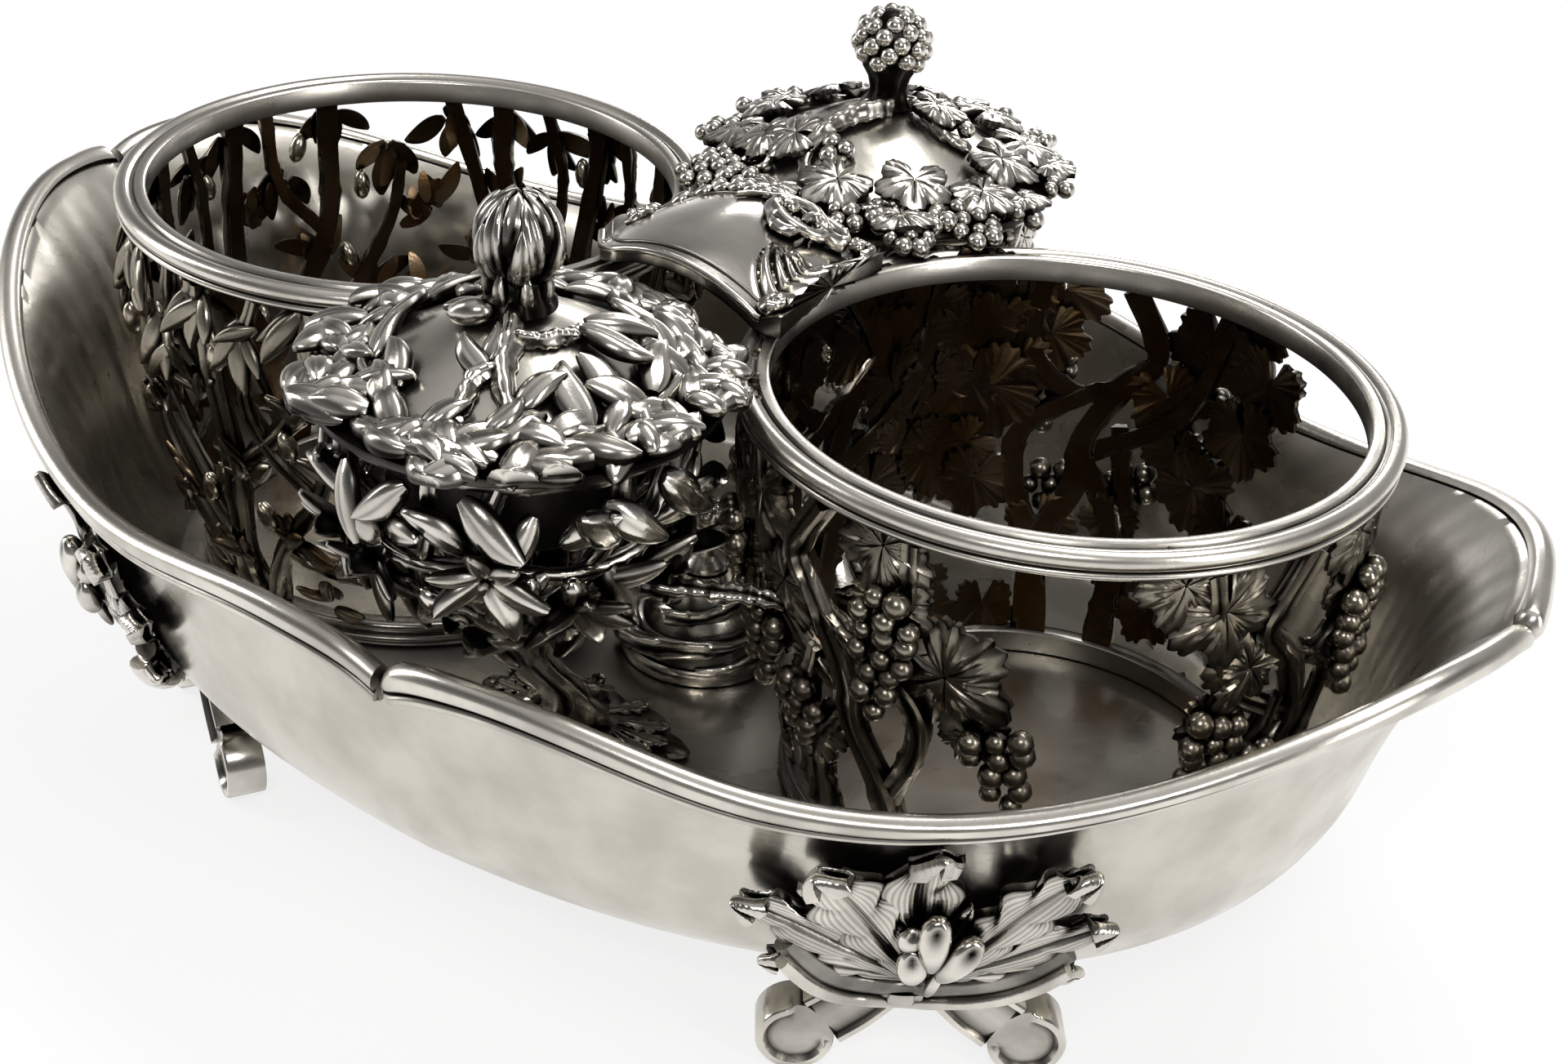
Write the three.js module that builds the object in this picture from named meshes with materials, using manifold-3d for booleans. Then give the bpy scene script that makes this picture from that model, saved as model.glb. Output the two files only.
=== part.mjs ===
// Silver cruet stand: a boat-shaped tray on four scroll feet, an openwork holder for the oil bottle and one
// for the vinegar bottle, a cartouche that bridges them, and two stoppers standing in holders of their own.
// Millimetres. The origin is on the ground under the centre, X runs towards the vinegar bottle, Z is up.
import * as THREE from "three";
import { mergeVertices } from "three/addons/utils/BufferGeometryUtils.js";
import Module from "manifold-3d";

const wasm = await Module();
wasm.setup();

// General sizes
const joint = 0.3; // clearance between soldered, screwed or resting pieces
const sheet = 1.5; // silver sheet of the tray
const capSheet = 1.4; // silver sheet of the stoppers' domes

// Tray: an ellipse in plan, whose wall swells from the floor and flares towards the rim
const rimHalfWidth = 91.7;
const tipOverhang = 31.6; // how far the rim stands out over the floor's edge, at the tips
const sideOverhang = 15.8; // the same on the long sides
const floorMargin = 5.5; // from the middle of a base ring to the floor's edge
const floorHeight = 22.4; // underside of the floor above the ground
const tipRise = 85.6; // height of the sheet's edge beside the two tips
const waistRise = 64.6; // lowest height of the edge, over the feet
const sideRise = 69.6; // height of the edge beside the notches of the long sides
const tipCrest = 11; // degrees from the tip where the rim is highest
const waist = 62; // degrees from the tip where the rim is lowest
const sideCrest = 82; // degrees from the tip where the rim is high again
const tipNotch = 3; // depth of the notch at each tip
const tipNotchSpread = 4; // degrees over which the tip notch runs out
const sideNotch = 5.5; // depth of the notch in each long side
const sideNotchSpread = 2.6;
const notchInset = 1.9; // how far the rim draws in at the side notches
const notchInsetSpread = 4;
const tipSwell = 0.44; // share of the overhang made by the swelling near the floor, at the tips
const sideSwell = 0.69; // the same on the long sides
const swellPower = 5;
const flarePower = 3.6;

// Rim moulding: a thick rounded wire over a smaller bead
const mouldTop = 2.9;
const mouldDrop = 3.6;
const mouldOut = 2.7;
const mouldIn = 2.1;
const mouldSwell = 1.35; // the start of each length swells into a knuckle
const swellReach = 7.5; // degrees over which the knuckle runs out

// Feet
const footAngle = 46; // degrees round the ellipse from the tip
const toeSpread = 37.7; // between the two toes of a foot
const toeRadius = 6.5;
const legDepth = 7;
const legWidth = 9.5;
const soleWear = 0.3; // the toes are worn flat by this much
const sprayRoot = 9; // height over the floor's edge from which the leaves spread
const sprayRise = 33; // length of the middle leaf
const sprayReach = 28; // length of the outermost leaves
const sprayLeafWidth = 14;
const sprayTurn = 1.8; // degrees by which a spray stands nearer to the long side's middle than its legs
const apronHalfWidth = 21; // moulded ledge under the leaves
const apronDrop = 1; // how far it hangs below the floor's edge
const apronThickness = 1.5;

// Bottle frames
const ringSpacing = 134.8; // between the two bottles' axes
const wellRadius = 48; // bottle opening
const ringTop = 100.8;
const ringHeight = 4.6;
const ringWidth = 6;
const baseRadius = 40; // middle of the base ring
const baseWidth = 3.6;
const baseHeight = 4.2;
const wallFullness = 1.8; // how cup-like the openwork wall is, 1 is a plain cone
const panelTurns = { vine: [-96, -6, 114, 174], olive: [-96, -6, 84, 174] }; // azimuths of the panels

// Plants
const stemRadius = 2.1;
const twigRadius = 1.5;
const leafThickness = 1.6;
const oliveLeafLength = 15;
const oliveLeafWidth = 6;
const oliveLength = 6.5;
const vineLeafRadius = 10;
const grapeRadius = 2.5;

// Screws through the floor
const studRadius = 2;
const studPlay = 0.4;
const nutRadius = 4.6;
const nutHeight = 4;
const studTail = 1; // how far a stud stands out of its nut

// Bridge
const bridgeOverhang = 2.1; // how far each end reaches over a bottle opening
const bridgeTop = 110.5;
const bridgeSheet = 2;
const bridgeWide = 17; // half width of the middle and of the shell end
const bridgeNarrow = 5; // half width at the tail
const bridgeShoulder = 0.6; // share of the half length over which the tail widens
const bridgeBearing = 3.5; // length of each end that lies over its ring
const bridgeCrown = 1.6; // how much the plate's two edges lie lower than its middle
const bridgeScroll = 5.5; // radius of the C-scroll on the far side
const fluteCount = 6;
const fluteDepth = 1.5;
const lipScallop = 1.8; // how far each flute's end stands out of the lip

// Boss and its screw
const bossRadius = 16.5;
const bossHeight = 17;
const knobRadius = 4.2;
const knobTop = 56;

// Stoppers and their holders
const holderGap = 2.63; // between a holder and the two bottle rings beside it
const capRadius = 33;
const capUnderside = 101.3;
const capEdge = 1.6;
const capRise = 11.8;
const collarRadius = 18.7;
const collarWall = 1.5;
const collarDepth = 19;
const finialTop = 134.4;
const finialNeck = 3.6;
const wreathRadius = 27;
const budRadius = 8;
const seatWidth = 4.5;
const seatHeight = 2.4;
const hubRadius = 9;
const hubTop = 60.3;
const hubHeight = 4.3;
const ribCount = 6;
const trunkRadius = 3.4;
const groundThickness = 2.4;
const groundHalfLength = 22;
const groundHalfWidth = 11;
const groundGap = 7.5; // between the leafy ground and the boss
const trunkLean = 6; // how far to one side the trunk's foot stands
const linkHeight = 72; // height of the twigs that tie a holder to the bottle frames

const floorHalfWidth = rimHalfWidth - sideOverhang;
const floorHalfLength = ringSpacing / 2 + baseRadius + floorMargin;
const rimHalfLength = floorHalfLength + tipOverhang;
const floorTop = floorHeight + sheet;
const ringUnderside = ringTop - ringHeight;
const baseBottom = floorTop + joint;
const baseTop = baseBottom + baseHeight;
const wallBottom = baseTop + joint;
const wallTop = ringUnderside - joint;
const wallTopRadius = wellRadius + ringWidth / 2;
const seatTop = capUnderside - joint;
const seatOuter = capRadius - 2;
const bridgeHalf = ringSpacing / 2 - wellRadius + bridgeOverhang; // half length along X
const holderReach = wellRadius + ringWidth + seatOuter + holderGap;
const stopperOffset = Math.sqrt(holderReach ** 2 - (ringSpacing / 2) ** 2); // centre to a stopper's axis
const trunkFoot = new THREE.Vector2(-trunkLean, stopperOffset - bossRadius - groundHalfWidth - groundGap);

const polished = { color: 0xc9c6bf, roughness: 0.22, metalness: 1 };
const cast = { color: 0xa9a59c, roughness: 0.34, metalness: 1 };
const oxidised = { color: 0x7d7568, roughness: 0.45, metalness: 1 };

const radians = THREE.MathUtils.degToRad;
const lerp = THREE.MathUtils.lerp;

// A closed solid for joining and cutting.
function solidOf(geometry) {
  const bare = geometry.index ? geometry.clone() : geometry;
  bare.deleteAttribute("normal");
  bare.deleteAttribute("uv");
  const merged = mergeVertices(bare, 1e-4);
  const vertProperties = new Float32Array(merged.attributes.position.array);
  const triVerts = new Uint32Array(merged.index.array);
  return new wasm.Manifold(new wasm.Mesh({ numProp: 3, vertProperties, triVerts }));
}

// The three.js geometry of a solid.
function geometryOf(solid) {
  const mesh = solid.getMesh();
  const points = new Float32Array(mesh.numVert * 3);
  for (let i = 0; i < mesh.numVert; i++) {
    for (let k = 0; k < 3; k++) points[3 * i + k] = mesh.vertProperties[mesh.numProp * i + k];
  }
  const geometry = new THREE.BufferGeometry();
  geometry.setAttribute("position", new THREE.BufferAttribute(points, 3));
  geometry.setIndex(new THREE.BufferAttribute(new Uint32Array(mesh.triVerts), 1));
  geometry.computeVertexNormals();
  return geometry;
}

// One solid out of several geometries that run into each other.
function fuse(geometries) {
  return geometryOf(geometries.map(solidOf).reduce((whole, next) => whole.add(next)));
}

// A closed skin over rings of points, with a flat cap on the first and the last ring. Each ring goes
// anticlockwise when the next ring lies towards the viewer.
function loft(rings) {
  const sides = rings[0].length;
  const points = rings.flat();
  const index = [];
  for (let r = 0; r + 1 < rings.length; r++) {
    for (let s = 0; s < sides; s++) {
      const a = r * sides + s;
      const b = r * sides + ((s + 1) % sides);
      index.push(a, b, b + sides, a, b + sides, a + sides);
    }
  }
  const last = (rings.length - 1) * sides;
  for (let s = 1; s + 1 < sides; s++) {
    index.push(0, s + 1, s);
    index.push(last, last + s, last + s + 1);
  }
  const geometry = new THREE.BufferGeometry().setFromPoints(points);
  geometry.setIndex(index);
  geometry.computeVertexNormals();
  return geometry;
}

// A turned piece: its profile is a list of radius and height pairs, turned about Z.
function turned(profile, segments) {
  const geometry = new THREE.LatheGeometry(
    profile.map(([r, z]) => new THREE.Vector2(r, z)),
    segments,
  );
  return geometry.rotateX(Math.PI / 2);
}

// A turned ring, whose profile closes on itself.
function turnedRing(profile, segments) {
  return turned([...profile, profile[0]], segments);
}

// A round rod of one radius along a curve.
function rod(curve, radius, steps, sides = 5) {
  const section = new THREE.Shape();
  for (let s = 0; s < sides; s++) {
    const angle = (2 * Math.PI * s) / sides;
    const point = new THREE.Vector2(radius * Math.cos(angle), radius * Math.sin(angle));
    if (s === 0) section.moveTo(point.x, point.y);
    else section.lineTo(point.x, point.y);
  }
  section.closePath();
  return new THREE.ExtrudeGeometry(section, { steps, extrudePath: curve, bevelEnabled: false });
}

// A lance-shaped leaf along +Y with a raised midrib; its underside lies on z = 0 and its tip curls up.
function lanceLeaf({ length, width, curl, steps }) {
  const tip = 0.12; // width of both ends over the full width
  const edge = 0.35 * leafThickness;
  const rings = [];
  for (let k = 0; k <= steps; k++) {
    const s = k / steps;
    const half = Math.max(tip * width, 0.5 * width * Math.sin(Math.PI * lerp(tip, 1 - tip / 2, s)));
    const lift = curl * s ** 3;
    rings.push([
      new THREE.Vector3(0, s * length, lift),
      new THREE.Vector3(-half, s * length, lift + edge),
      new THREE.Vector3(0, s * length, lift + leafThickness),
      new THREE.Vector3(half, s * length, lift + edge),
    ]);
  }
  return loft(rings);
}

// A five-lobed vine leaf on z = 0, its stalk end at the origin and its middle lobe towards +Y.
function vineLeaf(radius) {
  const points = [];
  const lobes = 5;
  const perLobe = 2;
  for (let k = 0; k <= lobes * perLobe; k++) {
    const sweep = radians(lerp(-150, 150, k / (lobes * perLobe)));
    const bulge = k % perLobe ? 1 : 0.62;
    const reach = radius * bulge * (0.78 + 0.22 * Math.cos(sweep));
    points.push(new THREE.Vector2(reach * Math.sin(sweep), reach * Math.cos(sweep) + 0.45 * radius));
  }
  return new THREE.ExtrudeGeometry(new THREE.Shape(points), { depth: leafThickness, bevelEnabled: false });
}

// A hanging bunch of grapes that tapers towards -Y from the origin.
function grapeBunch(rows) {
  const berries = [];
  rows.forEach((count, row) => {
    for (let k = 0; k < count; k++) {
      const berry = new THREE.IcosahedronGeometry(grapeRadius, 0);
      const across = (k - (count - 1) / 2) * 1.35 * grapeRadius;
      berries.push(berry.translate(across, -(row + 0.3) * 1.2 * grapeRadius, 0.3 * grapeRadius));
    }
  });
  return berries;
}

// An olive that hangs along -Y from the origin.
function olive() {
  const fruit = new THREE.IcosahedronGeometry(oliveLength / 2, 0).scale(0.68, 1, 0.68);
  return fruit.translate(0, -0.35 * oliveLength, 0.2 * oliveLength);
}

function piece(name, geometry, finish) {
  const mesh = new THREE.Mesh(geometry, new THREE.MeshStandardMaterial(finish));
  mesh.name = name;
  return mesh;
}

// Tray

// Degrees from the nearest tip, 0 to 90, for an angle round the ellipse.
function fromTip(angle) {
  const turn = ((angle % 180) + 180) % 180;
  return turn > 90 ? 180 - turn : turn;
}

function rimHeight(angle) {
  const d = fromTip(angle);
  const blend = (from, to, d0, d1) =>
    lerp(from, to, (1 - Math.cos((Math.PI * (d - d0)) / (d1 - d0))) / 2);
  let height = sideRise;
  if (d < tipCrest) height = tipRise;
  else if (d < waist) height = blend(tipRise, waistRise, tipCrest, waist);
  else if (d < sideCrest) height = blend(waistRise, sideRise, waist, sideCrest);
  height -= sideNotch * Math.exp(-(90 - d) / sideNotchSpread);
  return height - tipNotch * Math.exp(-d / tipNotchSpread);
}

// A point of the tray's outer wall: level 0 is the floor's edge and level 1 the rim. Inset moves the wall
// towards the inside and lift moves the floor's edge up.
function trayPoint(angle, level, inset = 0, lift = 0) {
  const spread = (swell) => swell * (1 - (1 - level) ** swellPower) + (1 - swell) * level ** flarePower;
  const draw = notchInset * Math.exp(-(90 - fromTip(angle)) / notchInsetSpread) * level ** flarePower;
  const a = lerp(floorHalfLength, rimHalfLength, spread(tipSwell)) - inset;
  const b = lerp(floorHalfWidth, rimHalfWidth, spread(sideSwell)) - inset - draw;
  const bottom = floorHeight + lift;
  const z = lerp(bottom, rimHeight(angle), level);
  return new THREE.Vector3(a * Math.cos(radians(angle)), b * Math.sin(radians(angle)), z);
}

// Outward horizontal direction of the wall in plan.
function trayOutward(angle) {
  const t = radians(angle);
  return new THREE.Vector3(Math.cos(t) / floorHalfLength, Math.sin(t) / floorHalfWidth, 0).normalize();
}

const underRim = 0.92;
const wallLevels = [0, 0.08, 0.25, 0.6, underRim, 1];
const beside = 3; // degrees from a notch to the next section of the wall
const between = 10; // equal parts of a quarter of the wall
const even = Array.from({ length: between - 1 }, (_, k) => (90 * (k + 1)) / between);
const quarter = [0, beside, ...even, 90 - beside];
const sections = [0, 90, 180, 270].flatMap((start) => quarter.map((angle) => start + angle));
const wallInset = 1.2 * sheet; // the wall leans, so its horizontal thickness is more than the sheet's

function trayShell() {
  const outer = wallLevels.map((level) => sections.map((angle) => trayPoint(angle, level)));
  const inner = wallLevels.map((level) => sections.map((angle) => trayPoint(angle, level, wallInset, sheet)));
  return loft([...outer, ...inner.reverse()]);
}

// A point on the straight stretch of the wall between two of its sections.
function onFacet(angle, level) {
  const after = sections.findIndex((section) => section > angle);
  const next = after < 0 ? 360 : sections[after];
  const previous = after < 0 ? sections[sections.length - 1] : sections[after - 1];
  const share = (angle - previous) / (next - previous);
  return trayPoint(previous, level).lerp(trayPoint(next, level), share);
}

function drill(x, y) {
  const hole = new THREE.CylinderGeometry(studRadius + studPlay, studRadius + studPlay, 4 * sheet, 12);
  return solidOf(hole.rotateX(Math.PI / 2).translate(x, y, floorHeight + sheet / 2));
}

const studX = ringSpacing / 2 + baseRadius;
let trayBody = solidOf(trayShell());
for (const x of [-studX, 0, studX]) trayBody = trayBody.subtract(drill(x, 0));

const stand = new THREE.Group();
stand.add(piece("tray", geometryOf(trayBody), polished));

// Rim moulding from one notch to the next, with a swollen knuckle at its start.
function rimMoulding(start) {
  const back = 1.3 * joint; // clear of the sheet, which bends a little between its sections
  const section = [
    [-mouldIn, joint],
    [-0.8 * mouldIn, 0.7 * mouldTop],
    [0.35 * mouldOut, mouldTop],
    [0.95 * mouldOut, 0.4 * mouldTop],
    [0.66 * mouldOut, -0.2 * mouldDrop],
    [mouldOut, -0.6 * mouldDrop],
    [back, -mouldDrop],
    [back, joint],
  ];
  const startGap = THREE.MathUtils.radToDeg((2 * joint) / rimHalfWidth);
  const endGap = startGap / 4;
  const steps = [startGap, ...quarter.slice(1), 90 - endGap];
  const rings = steps.map((step) => {
    const angle = start + step;
    const top = onFacet(angle, 1);
    const rise = top.clone().sub(onFacet(angle, underRim)).normalize();
    const out = trayOutward(angle);
    const along = new THREE.Vector3().crossVectors(out, rise).normalize();
    const face = new THREE.Vector3().crossVectors(rise, along).normalize();
    const swell = lerp(mouldSwell, 1, Math.min(1, step / swellReach));
    return section.map(([m, w]) => {
      const grownOut = m > back ? joint + (m - joint) * swell : m;
      const grownUp = w > joint ? joint + (w - joint) * swell : w;
      const grownDown = w < 0 ? w * swell : grownUp;
      return top.clone().addScaledVector(face, grownOut).addScaledVector(rise, grownDown);
    });
  });
  return loft(rings);
}

const quarters = [
  ["rear_right", 0],
  ["rear_left", 90],
  ["front_left", 180],
  ["front_right", 270],
];
for (const [name, start] of quarters) {
  stand.add(piece("rim_" + name, rimMoulding(start), polished));
}

// Feet

// Two splayed scroll legs cut from one plate, in the plane of the wall: X along the wall, Y up.
function legPair() {
  const side = toeSpread / 2;
  const top = floorHeight - joint;
  const outline = new THREE.Shape();
  outline.moveTo(-legWidth, top);
  outline.quadraticCurveTo(-1.15 * legWidth, 0.6 * top, -side + 0.2 * toeRadius, 2 * toeRadius);
  outline.absarc(-side, toeRadius, toeRadius, radians(80), radians(320), false);
  outline.quadraticCurveTo(-0.8 * side, 0.5 * top, 0, 0.66 * top);
  outline.quadraticCurveTo(0.8 * side, 0.5 * top, side + toeRadius * Math.cos(radians(220)),
    toeRadius + toeRadius * Math.sin(radians(220)));
  outline.absarc(side, toeRadius, toeRadius, radians(220), radians(460), false);
  outline.quadraticCurveTo(1.15 * legWidth, 0.6 * top, legWidth, top);
  outline.closePath();
  const plate = new THREE.ExtrudeGeometry(outline, { depth: legDepth, bevelEnabled: false, curveSegments: 5 });
  const below = new THREE.BoxGeometry(2 * toeSpread, toeRadius, 4 * legDepth);
  const ground = solidOf(below.translate(0, soleWear - toeRadius / 2, 0));
  const worn = geometryOf(solidOf(plate).subtract(ground));
  return worn.translate(0, -soleWear, 0).scale(1, (floorHeight - joint) / (top - soleWear), 1);
}

// Puts a point given as distance along the wall, height over the floor's edge and height above the
// surface onto the outer wall near a foot.
function ontoWall(angle, point) {
  const perDegree = trayPoint(angle + 1, 0.3).distanceTo(trayPoint(angle, 0.3));
  const turn = angle + point.x / perDegree;
  const level = Math.max(0, point.y) / (rimHeight(turn) - floorHeight);
  const at = trayPoint(turn, level);
  const rise = trayPoint(turn, level + 0.02).sub(at).normalize();
  const along = trayPoint(turn + 0.5, level).sub(at).normalize();
  const out = new THREE.Vector3().crossVectors(along, rise).normalize();
  if (out.dot(trayOutward(turn)) < 0) out.negate();
  if (point.y < 0) {
    at.z += point.y;
    out.copy(trayOutward(turn));
  }
  return at.addScaledVector(out, point.z + 1.8 * joint);
}

// The ledge under a spray, flat: its lower edge runs in three waves and both ends rise to the lowest leaves.
function apron() {
  const end = sprayRoot + 0.3 * sprayLeafWidth;
  const wave = 0.1 * sprayRoot;
  const steps = 12;
  const rings = [];
  for (let k = 0; k <= steps; k++) {
    const s = lerp(-1, 1, k / steps);
    const low = lerp(wave - apronDrop, end - wave, s * s) - wave * Math.abs(Math.cos(1.5 * Math.PI * s));
    const high = lerp(1.1 * sprayRoot, end, s * s);
    const ring = [0, 0.5, 1].map((t) => new THREE.Vector3(s * apronHalfWidth, lerp(low, high, t), 0));
    const face = ring.map((point) => point.clone().setZ(apronThickness)).reverse();
    rings.push([...ring, ...face]);
  }
  return loft(rings);
}

function leafSpray(angle) {
  const leaves = [-64, -36, 0, 36, 64].map((tilt) => {
    const length = lerp(sprayReach, sprayRise, Math.cos(radians(tilt)) ** 2);
    const leaf = lanceLeaf({ length, width: sprayLeafWidth, curl: 1.5 * leafThickness, steps: 5 });
    return leaf.rotateZ(radians(-tilt)).translate(0, sprayRoot, 0);
  });
  const buds = [-1, 0, 1].map((side) => {
    const bud = new THREE.IcosahedronGeometry(0.19 * sprayLeafWidth, 0).scale(0.8, side ? 1.6 : 2.2, 0.8);
    const up = sprayRoot + (side ? 0.34 : 0.6) * sprayLeafWidth;
    return bud.rotateZ(radians(-14 * side)).translate(0.28 * sprayLeafWidth * side, up, 1.4 * leafThickness);
  });
  const spray = fuse([...leaves, apron(), ...buds]);
  const positions = spray.attributes.position;
  const point = new THREE.Vector3();
  for (let i = 0; i < positions.count; i++) {
    point.fromBufferAttribute(positions, i);
    const seated = ontoWall(angle, point);
    positions.setXYZ(i, seated.x, seated.y, seated.z);
  }
  spray.computeVertexNormals();
  return spray;
}

const feet = [
  ["rear_right", 0, 1],
  ["rear_left", 180, -1],
  ["front_left", 180, 1],
  ["front_right", 360, -1],
];
for (const [name, tip, way] of feet) {
  const angle = tip + way * footAngle;
  const edge = trayPoint(angle, 0);
  const out = trayOutward(angle);
  const foot = new THREE.Group();
  foot.position.set(edge.x, edge.y, 0);
  foot.rotation.z = Math.atan2(out.y, out.x) + Math.PI / 2;
  const legs = piece("foot_" + name, legPair(), polished);
  legs.rotation.x = Math.PI / 2;
  legs.position.y = legDepth + 2 * joint;
  foot.add(legs);
  stand.add(foot);
  stand.add(piece("foot_leaf_" + name, leafSpray(angle + way * sprayTurn), cast));
}

// Bottle frames: each is built round its own axis, with its outer side towards +X

function wallRadius(z) {
  const v = Math.min(1, Math.max(0, (z - wallBottom) / (wallTop - wallBottom)));
  return lerp(baseRadius, wallTopRadius, 1 - (1 - v) ** wallFullness);
}

// A point on the openwork wall; share is 0 at the base ring and 1 at the mouth ring.
function onWall(azimuth, share, outward = 0) {
  const z = lerp(wallBottom, wallTop, share);
  const r = wallRadius(z) + outward;
  return new THREE.Vector3(r * Math.cos(radians(azimuth)), r * Math.sin(radians(azimuth)), z);
}

function wallCurve(stations) {
  return new THREE.CatmullRomCurve3(stations.map(([azimuth, share]) => onWall(azimuth, share)));
}

// Places a geometry made round the origin, with +Y up the wall and +Z outwards, at a share of a stem's length.
function pinToStem(geometry, stem, along, turn, outward) {
  const on = wallCurve(stem.stations).getPointAt(along);
  const azimuth = THREE.MathUtils.radToDeg(Math.atan2(on.y, on.x));
  const share = (on.z - wallBottom) / (wallTop - wallBottom);
  const up = onWall(azimuth, share + 0.02).sub(onWall(azimuth, share - 0.02)).normalize();
  const across = new THREE.Vector3(-Math.sin(radians(azimuth)), Math.cos(radians(azimuth)), 0);
  const out = new THREE.Vector3().crossVectors(across, up);
  const frame = new THREE.Matrix4().makeBasis(across, up, out).setPosition(on.addScaledVector(out, outward));
  return geometry.rotateZ(radians(turn)).applyMatrix4(frame);
}

function stemRod(stem) {
  return rod(wallCurve(stem.stations), stem.radius, stem.stations.length);
}

// The middle of a rod at a height, for a rod that climbs or falls all the way.
function atHeight(curve, steps, height) {
  const points = curve.getSpacedPoints(steps);
  const k = points.findIndex((p, i) => i > 0 && (p.z - height) * (points[i - 1].z - height) <= 0);
  const share = (height - points[k - 1].z) / (points[k].z - points[k - 1].z);
  return new THREE.Vector3().lerpVectors(points[k - 1], points[k], share);
}

// Cuts a panel level where it is soldered to the rings above and below it.
function trimmed(panel) {
  const size = 2 * ringSpacing;
  const block = () => new THREE.BoxGeometry(size, size, size);
  const under = solidOf(block().translate(0, 0, wallBottom - size / 2));
  const over = solidOf(block().translate(0, 0, wallTop + size / 2));
  return geometryOf(solidOf(panel).subtract(under).subtract(over));
}

// Stems run through stations of degrees round the wall and share of its height, and go past both ends of
// the wall, where the panel is then cut level.
const vineStems = {
  main: {
    stations: [[1, -0.04], [2, 0.22], [-5, 0.42], [-6, 0.56], [-12, 0.71], [-19, 0.82], [-12, 1.04]],
    radius: stemRadius,
  },
  right: { stations: [[2, 0.22], [9, 0.42], [8, 0.56], [-3, 0.66], [-12, 0.71]], radius: 0.85 * stemRadius },
  inner: { stations: [[-12, 0.71], [-2, 0.68], [7, 0.8], [7, 1.04]], radius: twigRadius },
  left: { stations: [[-6, 0.5], [-26, 0.68], [-33, 1.04]], radius: twigRadius },
  low: { stations: [[-18, -0.04], [-16, 0.28], [-6, 0.5]], radius: twigRadius },
};

function vinePanel() {
  const { right, inner, left } = vineStems;
  const bunch = grapeBunch([2, 2, 1]).map((berry) => pinToStem(berry, inner, 0.72, 0, 0));
  const fallen = grapeBunch([2]).map((berry) => {
    return pinToStem(berry.translate(0.9 * vineLeafRadius, -0.45 * vineLeafRadius, 0), right, 0.4, 0, 0);
  });
  const leaf = (radius) => vineLeaf(radius).translate(0, -0.2 * radius, 0);
  return trimmed(fuse([
    ...Object.values(vineStems).map(stemRod),
    pinToStem(leaf(vineLeafRadius), right, 0.45, -80, 0),
    pinToStem(leaf(0.8 * vineLeafRadius), inner, 0.9, 130, 0),
    pinToStem(leaf(0.9 * vineLeafRadius), left, 0.6, 100, 0),
    ...bunch,
    ...fallen,
  ]));
}

const oliveStems = {
  main: { stations: [[0, -0.04], [-2, 0.15], [3, 0.5], [0, 0.9], [0, 1.04]], radius: stemRadius },
  left: { stations: [[-1, 0.22], [-22, 0.6], [-24, 1.04]], radius: 0.8 * stemRadius },
  right: { stations: [[2, 0.42], [23, 0.72], [25, 1.04]], radius: 0.8 * stemRadius },
};

function olivePanel() {
  const { main, left, right } = oliveStems;
  const leaves = [
    [main, 0.2, 50],
    [main, 0.6, 55],
    [left, 1 / 3, 100],
    [left, 2 / 3, -60],
    [right, 1 / 3, -110],
  ].map(([stem, along, turn]) => {
    const curl = 0.5 * leafThickness;
    const leaf = lanceLeaf({ length: oliveLeafLength, width: oliveLeafWidth, curl, steps: 2 });
    return pinToStem(leaf, stem, along, turn, 0);
  });
  return trimmed(fuse([
    ...[main, left, right].map(stemRod),
    ...leaves,
    pinToStem(olive(), main, 0.4, 0, -0.1 * oliveLength),
  ]));
}

function mouthRing() {
  const inner = wellRadius;
  const outer = wellRadius + ringWidth;
  const h = ringHeight;
  return turnedRing([
    [inner, ringUnderside],
    [outer - 0.12 * ringWidth, ringUnderside],
    [outer - 0.1 * ringWidth, ringUnderside + 0.3 * h],
    [outer - 0.22 * ringWidth, ringUnderside + 0.42 * h],
    [outer, ringUnderside + 0.66 * h],
    [outer - 0.3 * ringWidth, ringTop],
    [inner, ringTop],
  ], 28);
}

// The base ring carries a threaded stud that passes through the tray's floor.
function baseRing() {
  const half = baseWidth / 2;
  const ring = turnedRing([
    [baseRadius - half, baseBottom],
    [baseRadius + 1.33 * half, baseBottom],
    [baseRadius + 0.89 * half, baseBottom + 0.35 * baseHeight],
    [baseRadius + half, baseTop],
    [baseRadius - half, baseTop],
  ], 26);
  return fuse([ring, stud(baseRadius, baseBottom + 0.4 * baseHeight)]);
}

// A stud from below its nut up to the given height.
function stud(x, top) {
  const bottom = floorHeight - joint - nutHeight - studTail;
  const shank = new THREE.CylinderGeometry(studRadius, studRadius, top - bottom, 8);
  return shank.rotateX(Math.PI / 2).translate(x, 0, (top + bottom) / 2);
}

function roundNut() {
  const bore = studRadius + joint;
  const top = floorHeight - joint;
  const bottom = top - nutHeight;
  const chamfer = 0.2 * nutHeight;
  return turnedRing([
    [bore, bottom],
    [nutRadius - chamfer, bottom],
    [nutRadius, bottom + chamfer],
    [nutRadius, top],
    [bore, top],
  ], 10);
}

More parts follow.
